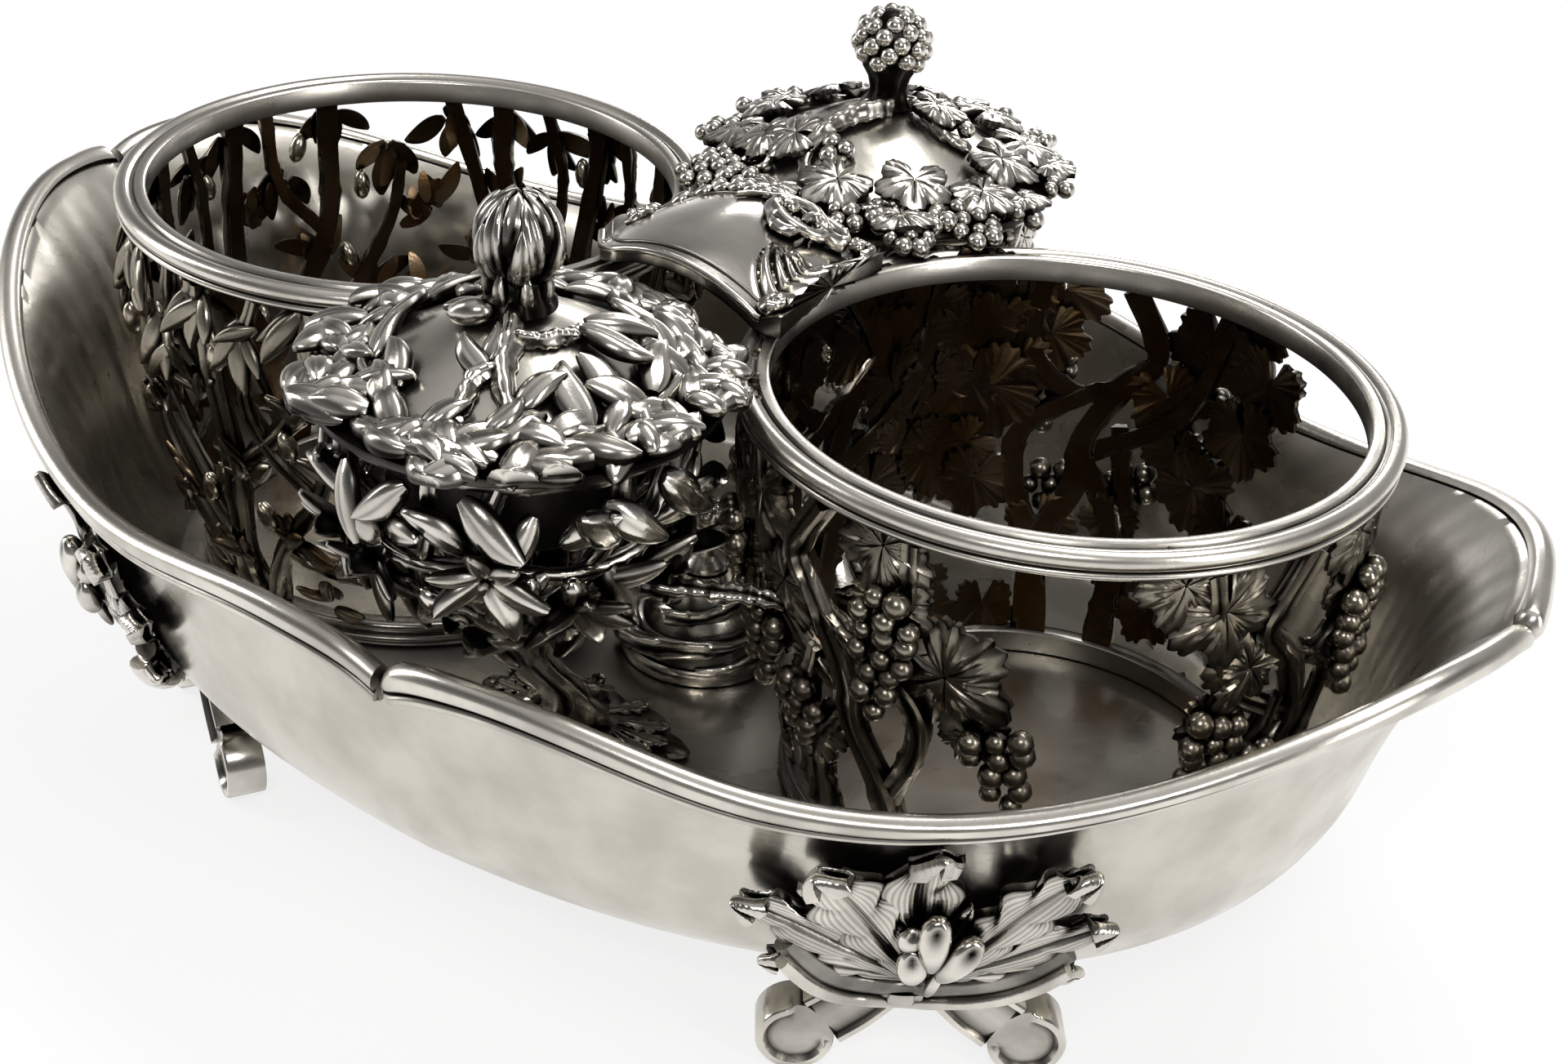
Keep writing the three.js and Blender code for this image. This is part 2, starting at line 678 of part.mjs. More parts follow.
const frames = [
  ["vinegar", "vine", ringSpacing / 2, 0, vinePanel],
  ["oil", "olive", -ringSpacing / 2, Math.PI, olivePanel],
];
for (const [name, plant, x, turn, makePanel] of frames) {
  const frame = new THREE.Group();
  frame.position.x = x;
  frame.rotation.z = turn;
  frame.add(piece(name + "_ring", mouthRing(), polished));
  frame.add(piece(name + "_base", baseRing(), polished));
  panelTurns[plant].forEach((azimuth, k) => {
    const panel = piece(plant + "_panel_" + (k + 1), makePanel(), oxidised);
    panel.rotation.z = radians(azimuth);
    frame.add(panel);
  });
  const nut = piece("nut_" + name, roundNut(), polished);
  nut.position.x = baseRadius;
  frame.add(nut);
  stand.add(frame);
}
stand.add(piece("nut_centre", roundNut(), polished));

// Bridge: a broad cartouche plate saddled over both mouth rings between the stoppers, with a row of beads and
// a C-scroll along its far edge and a fluted shell lip towards the vinegar ring
function bridgeHeight(x) {
  const foot = ringTop + joint + bridgeSheet + bridgeCrown;
  const share = Math.min(1, Math.abs(x) / (bridgeHalf - bridgeBearing));
  return lerp(foot, bridgeTop, Math.max(0, Math.cos((Math.PI / 2) * share)) ** 0.8);
}

function bridgeHalfWidth(x) {
  const s = (x + bridgeHalf) / (bridgeShoulder * bridgeHalf);
  return lerp(bridgeNarrow, bridgeWide, Math.sin((Math.PI / 2) * Math.min(1, s)));
}

// A point above the plate.
function onBridge(x, y, lift) {
  const share = y / bridgeHalfWidth(x);
  return new THREE.Vector3(x, y, bridgeHeight(x) - bridgeCrown * share * share + lift);
}

// Across the plate, ridges and grooves take turns: they rise from nothing in the middle to full depth at
// the lip, where each ridge also stands out as a scallop.
function bridge() {
  const steps = 12;
  const across = Array.from({ length: 2 * fluteCount + 1 }, (_, k) => 1 - k / fluteCount);
  const rings = [];
  for (let k = 0; k <= steps; k++) {
    const x = lerp(-bridgeHalf, bridgeHalf, k / steps);
    const depth = fluteDepth * THREE.MathUtils.smoothstep(x, 0.25 * bridgeHalf, 0.8 * bridgeHalf);
    const scallop = k === steps ? lipScallop : 0;
    const edge = (s, i, sunk) => {
      const ridge = i % 2;
      const at = onBridge(x, bridgeHalfWidth(x) * s, sunk ? -bridgeSheet : depth * ridge);
      at.x += scallop * ridge;
      return at;
    };
    const upper = across.map((s, i) => edge(s, i, false));
    const lower = across.map((s, i) => edge(s, i, true)).reverse();
    rings.push([...upper, ...lower]);
  }
  const parts = [loft(rings)];
  const beadCount = 6;
  for (let k = 0; k < beadCount; k++) {
    const x = lerp(-0.82 * bridgeHalf, 0, k / (beadCount - 1));
    const at = onBridge(x, bridgeHalfWidth(x) - 0.7 * stemRadius, 0);
    const along = onBridge(x + 1, bridgeHalfWidth(x + 1), 0).sub(onBridge(x, bridgeHalfWidth(x), 0));
    const bead = new THREE.IcosahedronGeometry(stemRadius, 0).scale(1.3, 0.8, 0.8);
    bead.rotateY(-Math.atan2(along.z, along.x)).rotateZ(Math.atan2(along.y, along.x));
    parts.push(bead.translate(at.x, at.y, at.z));
  }
  const turns = [150, 90, 30, -30, -100, -170, -230];
  const spiral = turns.map((turn, k) => {
    const r = bridgeScroll * (1 - 0.6 * (k / (turns.length - 1)) ** 1.5);
    const x = 0.4 * bridgeHalf + 1.3 * r * Math.cos(radians(turn));
    return onBridge(x, bridgeWide - 1.4 * bridgeScroll + r * Math.sin(radians(turn)), 0.3 * twigRadius);
  });
  parts.push(rod(new THREE.CatmullRomCurve3(spiral), twigRadius, 10));
  return fuse(parts);
}
stand.add(piece("bridge", bridge(), polished));

// Boss: a stepped dome with C-scrolls, bored for the screw that holds it down
function scrollCurve(radius, from, to, low, high) {
  const count = 6;
  const points = Array.from({ length: count }, (_, k) => {
    const s = k / (count - 1);
    const angle = radians(lerp(from, to, s));
    const r = radius * (1 - 0.35 * s ** 3);
    const z = lerp(low, high, Math.sin(0.8 * Math.PI * s));
    return new THREE.Vector3(r * Math.cos(angle), r * Math.sin(angle), z);
  });
  return new THREE.CatmullRomCurve3(points);
}

function boss() {
  const bore = studRadius + studPlay;
  const z = (share) => baseBottom + share * bossHeight;
  const dome = turnedRing([
    [bore, z(0)],
    [0.92 * bossRadius, z(0)],
    [0.92 * bossRadius, z(0.16)],
    [0.75 * bossRadius, z(0.22)],
    [0.68 * bossRadius, z(0.52)],
    [0.44 * bossRadius, z(0.66)],
    [0.3 * bossRadius, z(1)],
    [bore, z(1)],
  ], 14);
  const scrolls = [
    [0.9, -150, 0, 0.16, 0.4],
    [0.9, 40, 190, 0.16, 0.45],
    [0.55, 60, 250, 0.62, 0.8],
  ].map(([r, from, to, low, high]) => {
    const curve = scrollCurve(r * bossRadius, from, to, z(low), z(high));
    return rod(curve, 0.9 * stemRadius, 5);
  });
  return fuse([dome, ...scrolls]);
}
stand.add(piece("boss", boss(), cast));

// The screw's beaded head over its collar; its shank passes through the boss and the floor.
function bossScrew() {
  const seat = baseBottom + bossHeight + joint;
  const neck = 0.55 * knobRadius;
  const collar = turned([
    [0, seat],
    [1.1 * knobRadius, seat],
    [1.1 * knobRadius, seat + 0.38 * knobRadius],
    [neck, seat + 0.52 * knobRadius],
    [neck, knobTop - 1.6 * knobRadius],
    [0, knobTop - 1.6 * knobRadius],
  ], 10);
  const beads = [new THREE.IcosahedronGeometry(0.9 * knobRadius, 0).translate(0, 0, knobTop - knobRadius)];
  const beadCount = 5;
  for (let k = 0; k < beadCount; k++) {
    const bead = new THREE.IcosahedronGeometry(0.45 * knobRadius, 0);
    const angle = (2 * Math.PI * k) / beadCount;
    const reach = 0.66 * knobRadius;
    beads.push(bead.translate(reach * Math.cos(angle), reach * Math.sin(angle), knobTop - 1.1 * knobRadius));
  }
  return fuse([collar, ...beads, stud(0, seat + 0.24 * knobRadius)]);
}
stand.add(piece("boss_screw", bossScrew(), cast));

// Stopper holders: built round the stopper's own axis, with the stand's centre towards +Y

const ribSteps = 4;

function ribCurve(azimuth) {
  const stations = [
    [seatOuter - seatWidth / 2, seatTop - seatHeight / 2],
    [seatOuter - 0.91 * seatWidth, seatTop - 0.3 * (seatTop - hubTop)],
    [0.68 * (seatOuter - seatWidth), seatTop - 0.7 * (seatTop - hubTop)],
    [0.6 * hubRadius, hubTop - hubHeight / 2],
  ];
  const lean = 10;
  return new THREE.CatmullRomCurve3(stations.map(([r, z], k) => {
    const angle = radians(azimuth + lean * (k % 2 ? 1 : -1));
    return new THREE.Vector3(r * Math.cos(angle), r * Math.sin(angle), z);
  }));
}

function pinToRib(geometry, azimuth, share, turn) {
  const curve = ribCurve(azimuth);
  const at = curve.getPointAt(share);
  const up = curve.getTangentAt(share).negate();
  const out = new THREE.Vector3(at.x, at.y, 0).normalize();
  const across = new THREE.Vector3().crossVectors(up, out).normalize();
  const face = new THREE.Vector3().crossVectors(across, up);
  const frame = new THREE.Matrix4().makeBasis(across, up, face).setPosition(at);
  return geometry.rotateZ(radians(turn)).applyMatrix4(frame);
}

function holder(plant) {
  const inner = seatOuter - seatWidth;
  const seat = turnedRing([
    [inner, seatTop - seatHeight],
    [seatOuter - 0.25 * seatHeight, seatTop - seatHeight],
    [seatOuter, seatTop],
    [inner, seatTop],
  ], 20);
  const hub = turned([
    [0, hubTop - hubHeight],
    [0.7 * hubRadius, hubTop - hubHeight],
    [hubRadius, hubTop],
    [0, hubTop],
  ], 10);
  const parts = [seat, hub];
  for (let k = 0; k < ribCount; k++) {
    const azimuth = (360 * k) / ribCount;
    parts.push(rod(ribCurve(azimuth), twigRadius, ribSteps));
    if (plant === "olive") {
      const leaf = lanceLeaf({
        length: 0.93 * oliveLeafLength,
        width: oliveLeafWidth,
        curl: 0.6 * leafThickness,
        steps: 2,
      });
      parts.push(pinToRib(leaf, azimuth, 0.5, k % 2 ? 55 : -55));
      if (k % 3 === 1) parts.push(pinToRib(olive(), azimuth, 0.25, 60));
    } else if (k % 2) {
      const leaf = vineLeaf(0.75 * vineLeafRadius).translate(0, -0.25 * vineLeafRadius, 0.25 * leafThickness);
      parts.push(pinToRib(leaf, azimuth, 0.5, 170));
    } else {
      for (const berry of grapeBunch([1, 1])) parts.push(pinToRib(berry, azimuth, 0.4, 0));
    }
  }
  return fuse(parts);
}

// A ridged trunk that leans from the hub to its foot and spreads into roots there.
function trunk() {
  const sides = 10;
  const top = new THREE.Vector3(0, 0, hubTop - hubHeight - joint);
  const bottom = new THREE.Vector3(trunkFoot.x, trunkFoot.y, baseBottom + groundThickness + joint);
  const steps = 6;
  const rings = [];
  for (let k = 0; k <= steps; k++) {
    const s = k / steps;
    const at = new THREE.Vector3().lerpVectors(bottom, top, s);
    at.x += 0.47 * trunkRadius * Math.sin(2 * Math.PI * s);
    const flare = 1 + 1.7 * (1 - s) ** 5 + 0.6 * s ** 4;
    rings.push(Array.from({ length: sides }, (_, i) => {
      const angle = (2 * Math.PI * i) / sides + 0.5 * s;
      const ridge = i % 2 ? 0.78 : 1.1;
      const r = trunkRadius * flare * ridge;
      return new THREE.Vector3(at.x + r * Math.cos(angle), at.y + r * Math.sin(angle), at.z);
    }));
  }
  return loft(rings);
}

// Leafy ground under the roots: a scalloped, slightly domed plate.
function ground() {
  const points = [];
  const lobes = 9;
  const perLobe = 3;
  for (let k = 0; k < lobes * perLobe; k++) {
    const angle = (2 * Math.PI * k) / (lobes * perLobe);
    const bulge = 0.86 + 0.14 * Math.abs(Math.sin((Math.PI * k) / perLobe));
    points.push(new THREE.Vector2(
      trunkFoot.x + groundHalfLength * (0.18 + bulge * Math.cos(angle)),
      trunkFoot.y + groundHalfWidth * bulge * Math.sin(angle),
    ));
  }
  const plate = new THREE.ExtrudeGeometry(new THREE.Shape(points), {
    depth: groundThickness,
    bevelEnabled: false,
  });
  return plate.translate(0, 0, baseBottom);
}

// A twig between a rib of the holder and a side stem of the bottle frame beside it, with both ends hollowed
// to fit round them. The frame on the negative side carries the holder's own plant and stands turned half
// round.
function linkTwig(side, plant) {
  const stem = plant === "olive" ? oliveStems.left : vineStems.left;
  const turns = panelTurns[plant];
  const [azimuth, rib, turn] = side < 0 ? [turns[turns.length - 1], 2, Math.PI] : [turns[0], 0, 0];
  const place = new THREE.Matrix4().makeRotationZ(radians(azimuth) + turn);
  place.setPosition((side * ringSpacing) / 2, stopperOffset, 0);
  const stemSteps = stem.stations.length;
  const stemCurve = wallCurve(stem.stations);
  const ribPath = ribCurve((360 * rib) / ribCount);
  const start = atHeight(ribPath, ribSteps, linkHeight);
  const end = atHeight(stemCurve, stemSteps, linkHeight).applyMatrix4(place);
  const middle = new THREE.Vector3().lerpVectors(start, end, 0.5);
  middle.z += twigRadius;
  const twig = solidOf(rod(new THREE.CatmullRomCurve3([start, middle, end]), twigRadius, 4));
  const roundRib = solidOf(rod(ribPath, twigRadius + joint, ribSteps, 8));
  const roundStem = solidOf(rod(stemCurve, stem.radius + joint, stemSteps, 8).applyMatrix4(place));
  return geometryOf(twig.subtract(roundRib).subtract(roundStem));
}

// Stoppers

function domeHeight(r) {
  const bell = (0.5 + 0.5 * Math.cos((Math.PI * r) / capRadius)) ** 0.9;
  return capUnderside + capEdge + capRise * bell;
}

function dome() {
  const skin = [0, 0.25, 0.5, 0.72].map((share) => share * capRadius);
  const outer = [...skin, 0.87 * capRadius, capRadius].map((r) => [r, domeHeight(r)]);
  const inner = skin.map((r) => [r, domeHeight(r) - capSheet]);
  const seat = [0.85 * capRadius, capUnderside];
  const rim = [capRadius, capUnderside];
  return turned([...inner, seat, rim, ...outer.reverse()], 20);
}

function collar() {
  const top = domeHeight(collarRadius) - capSheet - joint;
  const bottom = capUnderside - collarDepth;
  return turnedRing([
    [collarRadius - collarWall, bottom],
    [collarRadius, bottom],
    [collarRadius, top],
    [collarRadius - collarWall, top],
  ], 18);
}

// Places a geometry made round the origin, with +Y outwards and +Z up, on the dome.
function pinToDome(geometry, azimuth, radius, turn, lift = 0) {
  const angle = radians(azimuth);
  const slope = Math.atan2(domeHeight(radius + 0.5) - domeHeight(radius - 0.5), 1);
  const out = new THREE.Vector3(Math.cos(angle), Math.sin(angle), 0);
  const down = out.clone().multiplyScalar(Math.cos(slope)).add(new THREE.Vector3(0, 0, Math.sin(slope)));
  const across = new THREE.Vector3(Math.sin(angle), -Math.cos(angle), 0);
  const face = new THREE.Vector3().crossVectors(across, down);
  const at = out.clone().multiplyScalar(radius).setZ(domeHeight(radius));
  at.addScaledVector(face, 1.5 * joint + lift);
  const frame = new THREE.Matrix4().makeBasis(across, down, face).setPosition(at);
  return geometry.rotateZ(radians(turn)).applyMatrix4(frame);
}

function foliage(plant) {
  const parts = [];
  const wreath = new THREE.TorusGeometry(wreathRadius, twigRadius, 5, 16);
  parts.push(wreath.translate(0, 0, domeHeight(wreathRadius - twigRadius) + twigRadius + joint));
  const leafCount = plant === "olive" ? 10 : 5;
  for (let k = 0; k < leafCount; k++) {
    const azimuth = (360 * k) / leafCount;
    if (plant === "olive") {
      const leaf = lanceLeaf({
        length: 0.87 * oliveLeafLength,
        width: 1.08 * oliveLeafWidth,
        curl: 0.4 * leafThickness,
        steps: 2,
      });
      parts.push(pinToDome(leaf, azimuth, 0.925 * wreathRadius, k % 2 ? 42 : -28, 0.25 * leafThickness));
      if (k % 4 === 1) parts.push(pinToDome(olive(), azimuth, 0.945 * wreathRadius, 180, 0.5 * leafThickness));
    } else {
      const leaf = vineLeaf(0.62 * vineLeafRadius).translate(0, -0.2 * vineLeafRadius, 0);
      parts.push(pinToDome(leaf, azimuth, 1.055 * wreathRadius, k % 2 ? 25 : -25, 0.375 * leafThickness));
      for (const berry of grapeBunch([2])) {
        parts.push(pinToDome(berry, azimuth + 180 / leafCount, 1.037 * wreathRadius, 180, leafThickness));
      }
    }
  }
  return fuse(parts);
}

function finial(plant) {
  const base = domeHeight(0) + 1.5 * joint;
  const sides = 12;
  const neckTop = 0.26; // share of the knob's height
  const stations = [
    [0.78 * budRadius, 0], [finialNeck, 0.135], [finialNeck, neckTop], [0.75 * budRadius, 0.375],
    [budRadius, 0.6], [0.86 * budRadius, 0.79], [0.5 * budRadius, 0.94], [0.14 * budRadius, 1],
  ];
  const furrow = plant === "olive" ? 0.16 : 0.05; // depth of the furrows between the knob's lobes
  const rings = stations.map(([r, share]) => Array.from({ length: sides }, (_, i) => {
    const angle = (2 * Math.PI * i) / sides;
    const reach = share > neckTop && i % 2 === 0 ? r * (1 - furrow) : r;
    return new THREE.Vector3(reach * Math.cos(angle), reach * Math.sin(angle), lerp(base, finialTop, share));
  }));
  const parts = [loft(rings)];
  if (plant === "vine") {
    for (const [tilt, count] of [[52, 4], [8, 6]]) {
      for (let k = 0; k < count; k++) {
        const berry = new THREE.IcosahedronGeometry(grapeRadius, 0);
        const angle = (2 * Math.PI * (k + 0.5 * (tilt > 0))) / count;
        const r = 0.78 * budRadius * Math.cos(radians(tilt));
        const z = finialTop - budRadius * (1.075 - 0.78 * Math.sin(radians(tilt)));
        parts.push(berry.translate(r * Math.cos(angle), r * Math.sin(angle), z));
      }
    }
  }
  return fuse(parts);
}

const stoppers = [
  ["oil", "olive", "vine", -stopperOffset, 0],
  ["vinegar", "vine", "olive", stopperOffset, Math.PI],
];
for (const [name, plant, otherPlant, y, turn] of stoppers) {
  const place = new THREE.Group();
  place.position.y = y;
  place.rotation.z = turn;
  place.add(piece(name + "_holder", holder(plant), cast));
  place.add(piece(name + "_trunk", trunk(), cast));
  place.add(piece(name + "_ground", ground(), oxidised));
  place.add(piece(name + "_link_left", linkTwig(-1, plant), cast));
  place.add(piece(name + "_link_right", linkTwig(1, otherPlant), cast));
  place.add(piece(name + "_lid", dome(), polished));
  place.add(piece(name + "_lid_collar", collar(), polished));
  place.add(piece(name + "_lid_foliage", foliage(plant), cast));
  place.add(piece(name + "_lid_finial", finial(plant), cast));
  stand.add(place);
}

export default stand;
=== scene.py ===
# Silver cruet stand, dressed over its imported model. Sizes are in millimetres until a mesh is made.
import bpy
import numpy as np
from mathutils import Matrix


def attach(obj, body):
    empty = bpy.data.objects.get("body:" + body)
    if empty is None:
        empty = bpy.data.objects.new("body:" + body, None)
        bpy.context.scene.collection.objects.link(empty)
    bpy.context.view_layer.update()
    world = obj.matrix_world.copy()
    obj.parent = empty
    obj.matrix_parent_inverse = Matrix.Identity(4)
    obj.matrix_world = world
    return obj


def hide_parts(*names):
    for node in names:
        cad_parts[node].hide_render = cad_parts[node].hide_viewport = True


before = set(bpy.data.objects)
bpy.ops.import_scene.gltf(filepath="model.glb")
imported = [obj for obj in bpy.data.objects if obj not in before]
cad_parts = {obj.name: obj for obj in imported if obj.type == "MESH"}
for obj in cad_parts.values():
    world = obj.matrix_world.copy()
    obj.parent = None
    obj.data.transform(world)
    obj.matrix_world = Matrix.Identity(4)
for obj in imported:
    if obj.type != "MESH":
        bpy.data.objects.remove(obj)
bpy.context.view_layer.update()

# Tray: a boat raised from one silver sheet. Its wall swells out of the flat floor and flares to the rim, which dips
# over the feet and is notched at both tips and both long sides. Planished, with soft hammer marks inside the tips.
floor_height, sheet = 22.4, 1.5  # underside of the floor over the ground, thickness of the silver
floor_length, floor_width = 112.9, 75.9  # half axes of the floor's edge
rim_length, rim_width = 144.5, 91.7  # half axes of the rim
tip_rise, waist_rise, side_rise = 85.6, 64.6, 69.6  # heights of the sheet's edge
tip_crest, waist, side_crest = 11, 62, 82  # where it has them, in degrees from a tip
tip_notch, side_notch, notch_draw = 3, 5.5, 1.9  # depths of the notches; how far the side ones draw the wall in
tip_run, side_run, draw_run = 4, 2.6, 4  # degrees over which these run out
swell_power, flare_power, tip_swell, side_swell = 5, 3.6, 0.44, 0.69
corners = ("rear_right", "rear_left", "front_left", "front_right")


def lerp(a, b, share):
    """The value a share of the way from a to b."""
    return a + (b - a) * share


def smooth(low, high, value):
    """0 below low, 1 above high and three t squared less two t cubed between."""
    t = np.clip((value - low) / (high - low), 0, 1)
    return t * t * (3 - 2 * t)


def unit(v):
    """A vector over its own length."""
    return v / np.linalg.norm(v, axis=-1, keepdims=True)


def from_tip(angle):
    """Degrees from the nearest tip, 0 to 90."""
    turn = np.mod(angle, 180.0)
    return np.minimum(turn, 180.0 - turn)


def rim_height(angle):
    """Height of the sheet's edge: half a cosine wave down from the tip to the waist and half a wave up to the side,
    less a notch at each tip and each side that runs out exponentially."""
    d = from_tip(angle)
    fall = (1 - np.cos(np.pi * np.clip((d - tip_crest) / (waist - tip_crest), 0, 1))) / 2
    climb = (1 - np.cos(np.pi * np.clip((d - waist) / (side_crest - waist), 0, 1))) / 2
    height = lerp(lerp(tip_rise, waist_rise, fall), side_rise, climb)
    return height - side_notch * np.exp(-(90 - d) / side_run) - tip_notch * np.exp(-d / tip_run)


def tray_wall(angle, level, inset=0.0, lift=0.0):
    """A point of the wall between the floor's edge at level 0 and the rim at level 1: an ellipse whose half axes
    grow by a share of one less the fifth power of what is left, and the rest by the power 3.6 of the level."""
    angle, level = np.broadcast_arrays(np.asarray(angle, float), np.asarray(level, float))
    flare = level**flare_power
    tip, side = (k * (1 - (1 - level) ** swell_power) + (1 - k) * flare for k in (tip_swell, side_swell))
    draw = notch_draw * np.exp(-(90 - from_tip(angle)) / draw_run) * flare
    a = lerp(floor_length, rim_length, tip) - inset
    b = lerp(floor_width, rim_width, side) - inset - draw
    z = lerp(floor_height + lift, rim_height(angle), level)
    turn = np.radians(angle)
    return np.stack([a * np.cos(turn), b * np.sin(turn), z], -1)


def outward(angle):
    """Level direction out of the wall: the ellipse's normal."""
    turn = np.radians(np.asarray(angle, float))
    return unit(np.stack([np.cos(turn) / floor_length, np.sin(turn) / floor_width, 0 * turn], -1))


def skins(grids, tarnish_and_shade=0.0, hoop=False):
    """Closed skins from grids of (count, rows, columns, 3). Columns close on themselves. Rows do too on a hoop, and
    otherwise the first and the last row each close in a fan. A skin whose volume is negative is turned round."""
    grids = np.array(grids, float)
    grids = grids.reshape(-1, *grids.shape[-3:])
    count, rows, cols = grids.shape[:3]
    shade = np.array(np.broadcast_to(np.asarray(tarnish_and_shade, float), (count, rows, cols)))
    last = rows if hoop else rows - 1
    a = grids - grids.mean(axis=(1, 2), keepdims=True)
    b = np.roll(a, -1, 2)
    d, c = np.roll(a, -1, 1), np.roll(b, -1, 1)
    wrong = (np.cross(a, b) * c + np.cross(a, c) * d)[:, :last].sum(axis=(1, 2, 3)) < 0
    grids[wrong] = grids[wrong][:, :, ::-1]
    shade[wrong] = shade[wrong][:, :, ::-1]
    points = np.concatenate([grids.reshape(count, -1, 3), grids[:, [0, -1]].mean(axis=2)], axis=1)
    shade = np.concatenate([shade.reshape(count, -1), shade[:, [0, -1]].mean(axis=2)], axis=1)
    start = (np.arange(count) * (rows * cols + 2))[:, None, None]
    r, k = np.meshgrid(np.arange(last), np.arange(cols), indexing="ij")
    up, right = ((r + 1) % rows) * cols, (k + 1) % cols
    quads = np.stack([r * cols + k, r * cols + right, up + right, up + k], -1).reshape(1, -1, 4) + start
    k = np.arange(cols)
    right, end = (k + 1) % cols, (rows - 1) * cols
    low = np.stack([np.full(cols, rows * cols), right, k], -1)
    high = np.stack([np.full(cols, rows * cols + 1), end + k, end + right], -1)
    tris = (np.concatenate([low, high])[None] + start).reshape(-1, 3)
    if hoop:
        points, shade, tris = points[:, :-2], shade[:, :-2], tris[:0]
        quads = quads - 2 * np.arange(count)[:, None, None]
    return points.reshape(-1, 3), shade.ravel(), quads.reshape(-1, 4), tris


def make_piece(name, parts, finish, replaces, body="stand"):
    """One mesh out of its skins, riding on its body and standing for CAD nodes."""
    starts = np.cumsum([0] + [len(part[0]) for part in parts[:-1]])
    points, shade = (np.concatenate([part[k] for part in parts]) for k in (0, 1))
    quads, tris = (np.concatenate([part[k] + s for part, s in zip(parts, starts)]) for k in (2, 3))
    corner_points = np.concatenate([quads.ravel(), tris.ravel()])
    first = np.concatenate([4 * np.arange(len(quads)), 4 * len(quads) + 3 * np.arange(len(tris))])
    mesh = bpy.data.meshes.new(name)
    mesh.vertices.add(len(points))
    mesh.vertices.foreach_set("co", (points * 0.001).astype(np.float32).ravel())
    mesh.loops.add(len(corner_points))
    mesh.loops.foreach_set("vertex_index", corner_points.astype(np.int32))
    mesh.polygons.add(len(first))
    mesh.polygons.foreach_set("loop_start", first.astype(np.int32))
    mesh.update(calc_edges=True)
    mesh.attributes.new("tarnish_and_shade", "FLOAT", "POINT").data.foreach_set("value", shade.astype(np.float32))
    mesh.shade_smooth()
    mesh.set_sharp_from_angle(angle=np.radians(48))
    mesh.materials.append(finish)
    piece = bpy.data.objects.new(name, mesh)
    bpy.context.scene.collection.objects.link(piece)
    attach(piece, body)
    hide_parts(*replaces)


def linear(code):
    """An sRGB hex colour as linear light, by the sRGB curve."""
    c = np.array([int(code[i:i + 2], 16) for i in (1, 3, 5)]) / 255
    return (*np.where(c <= 0.04045, c / 12.92, ((c + 0.055) / 1.055) ** 2.4).tolist(), 1.0)


def add(tree, kind, settings=(), **inputs):
    """A node with its settings, and with a value or a link for each named or numbered input."""
    made = tree.nodes.new("ShaderNode" + kind)
    for key, value in dict(settings).items():
        setattr(made, key, value)
    for key, value in inputs.items():
        socket = made.inputs[int(key[1:])] if key[0] == "_" else made.inputs[key]
        if isinstance(value, bpy.types.NodeSocket):
            tree.links.new(value, socket)
        else:
            socket.default_value = value
    return made


def silver(name, bright, gloss, satin, shade_and_sulphide, reach, grain, relief):
    """Silver whose colour goes from bright metal to black in corners, by how much of the air round a point its
    neighbours take up within a reach in mm: this black is partly sulphide and partly painted shade in corners and
    between parts. It also darkens by the mesh's own value of sulphide and painted shade: 1 is black, and from 1 to 2
    it turns brown. Wear clouds of 14 mm vary its roughness from gloss to satin. A grain in mm, drawn far coarser than
    real polishing marks so that it shows, gives a fine relief."""
    material = bpy.data.materials.new(name)
    material.use_nodes = True
    tree = material.node_tree
    tree.nodes.clear()
    spot = add(tree, "TexCoord").outputs["Object"]
    worn = add(tree, "TexNoise", Vector=spot, Scale=1000 / 14, Detail=4.0).outputs["Fac"]
    fine = add(tree, "TexNoise", Vector=spot, Scale=1000 / grain, Detail=3.0).outputs["Fac"]
    own = add(tree, "Attribute", {"attribute_name": "tarnish_and_shade"}).outputs["Fac"]
    # painted shade: ambient occlusion turns corners and the gaps between parts black, partly as sulphide
    open_air = add(tree, "AmbientOcclusion", {"samples": 6}, Distance=reach / 1000).outputs["AO"]
    corner_shade = add(tree, "MapRange", _0=open_air, _1=0.35, _2=0.9, _3=shade_and_sulphide, _4=0.0).outputs[0]
    cloud = add(tree, "MapRange", _0=worn, _1=0.38, _2=0.68, _3=0.0, _4=0.25 * shade_and_sulphide).outputs[0]
    past = add(tree, "Math", {"operation": "SUBTRACT"}, _0=2.0, _1=own).outputs[0]
    own_black = add(tree, "Math", {"operation": "MINIMUM"}, _0=own, _1=past).outputs[0]
    black = add(tree, "Math", {"operation": "MAXIMUM"}, _0=corner_shade, _1=own_black).outputs[0]
    black = add(tree, "Math", {"operation": "ADD", "use_clamp": True}, _0=black, _1=cloud).outputs[0]
    brown = add(tree, "Math", {"operation": "SUBTRACT", "use_clamp": True}, _0=own, _1=1.0).outputs[0]
    brown = add(tree, "Math", {"operation": "ADD", "use_clamp": True}, _0=brown, _1=cloud).outputs[0]
    metal = add(tree, "Mix", {"data_type": "RGBA"}, _0=brown, _6=linear(bright), _7=linear("#543d20"))
    metal = add(tree, "Mix", {"data_type": "RGBA"}, _0=black, _6=metal.outputs[2], _7=linear("#16130f"))
    rough = add(tree, "MapRange", _0=worn, _1=0.3, _2=0.7, _3=gloss, _4=satin).outputs[0]
    dull = add(tree, "Math", {"operation": "MULTIPLY"}, _0=black, _1=0.14).outputs[0]
    rough = add(tree, "Math", {"operation": "ADD"}, _0=rough, _1=dull).outputs[0]
    bump = add(tree, "Bump", Height=fine, Strength=relief, Distance=grain / 9000).outputs[0]
    shader = add(tree, "BsdfPrincipled", **{"Base Color": metal.outputs[2]}, Metallic=1.0, Roughness=rough,
                 Normal=bump)
    add(tree, "OutputMaterial", Surface=shader.outputs[0])
    return material


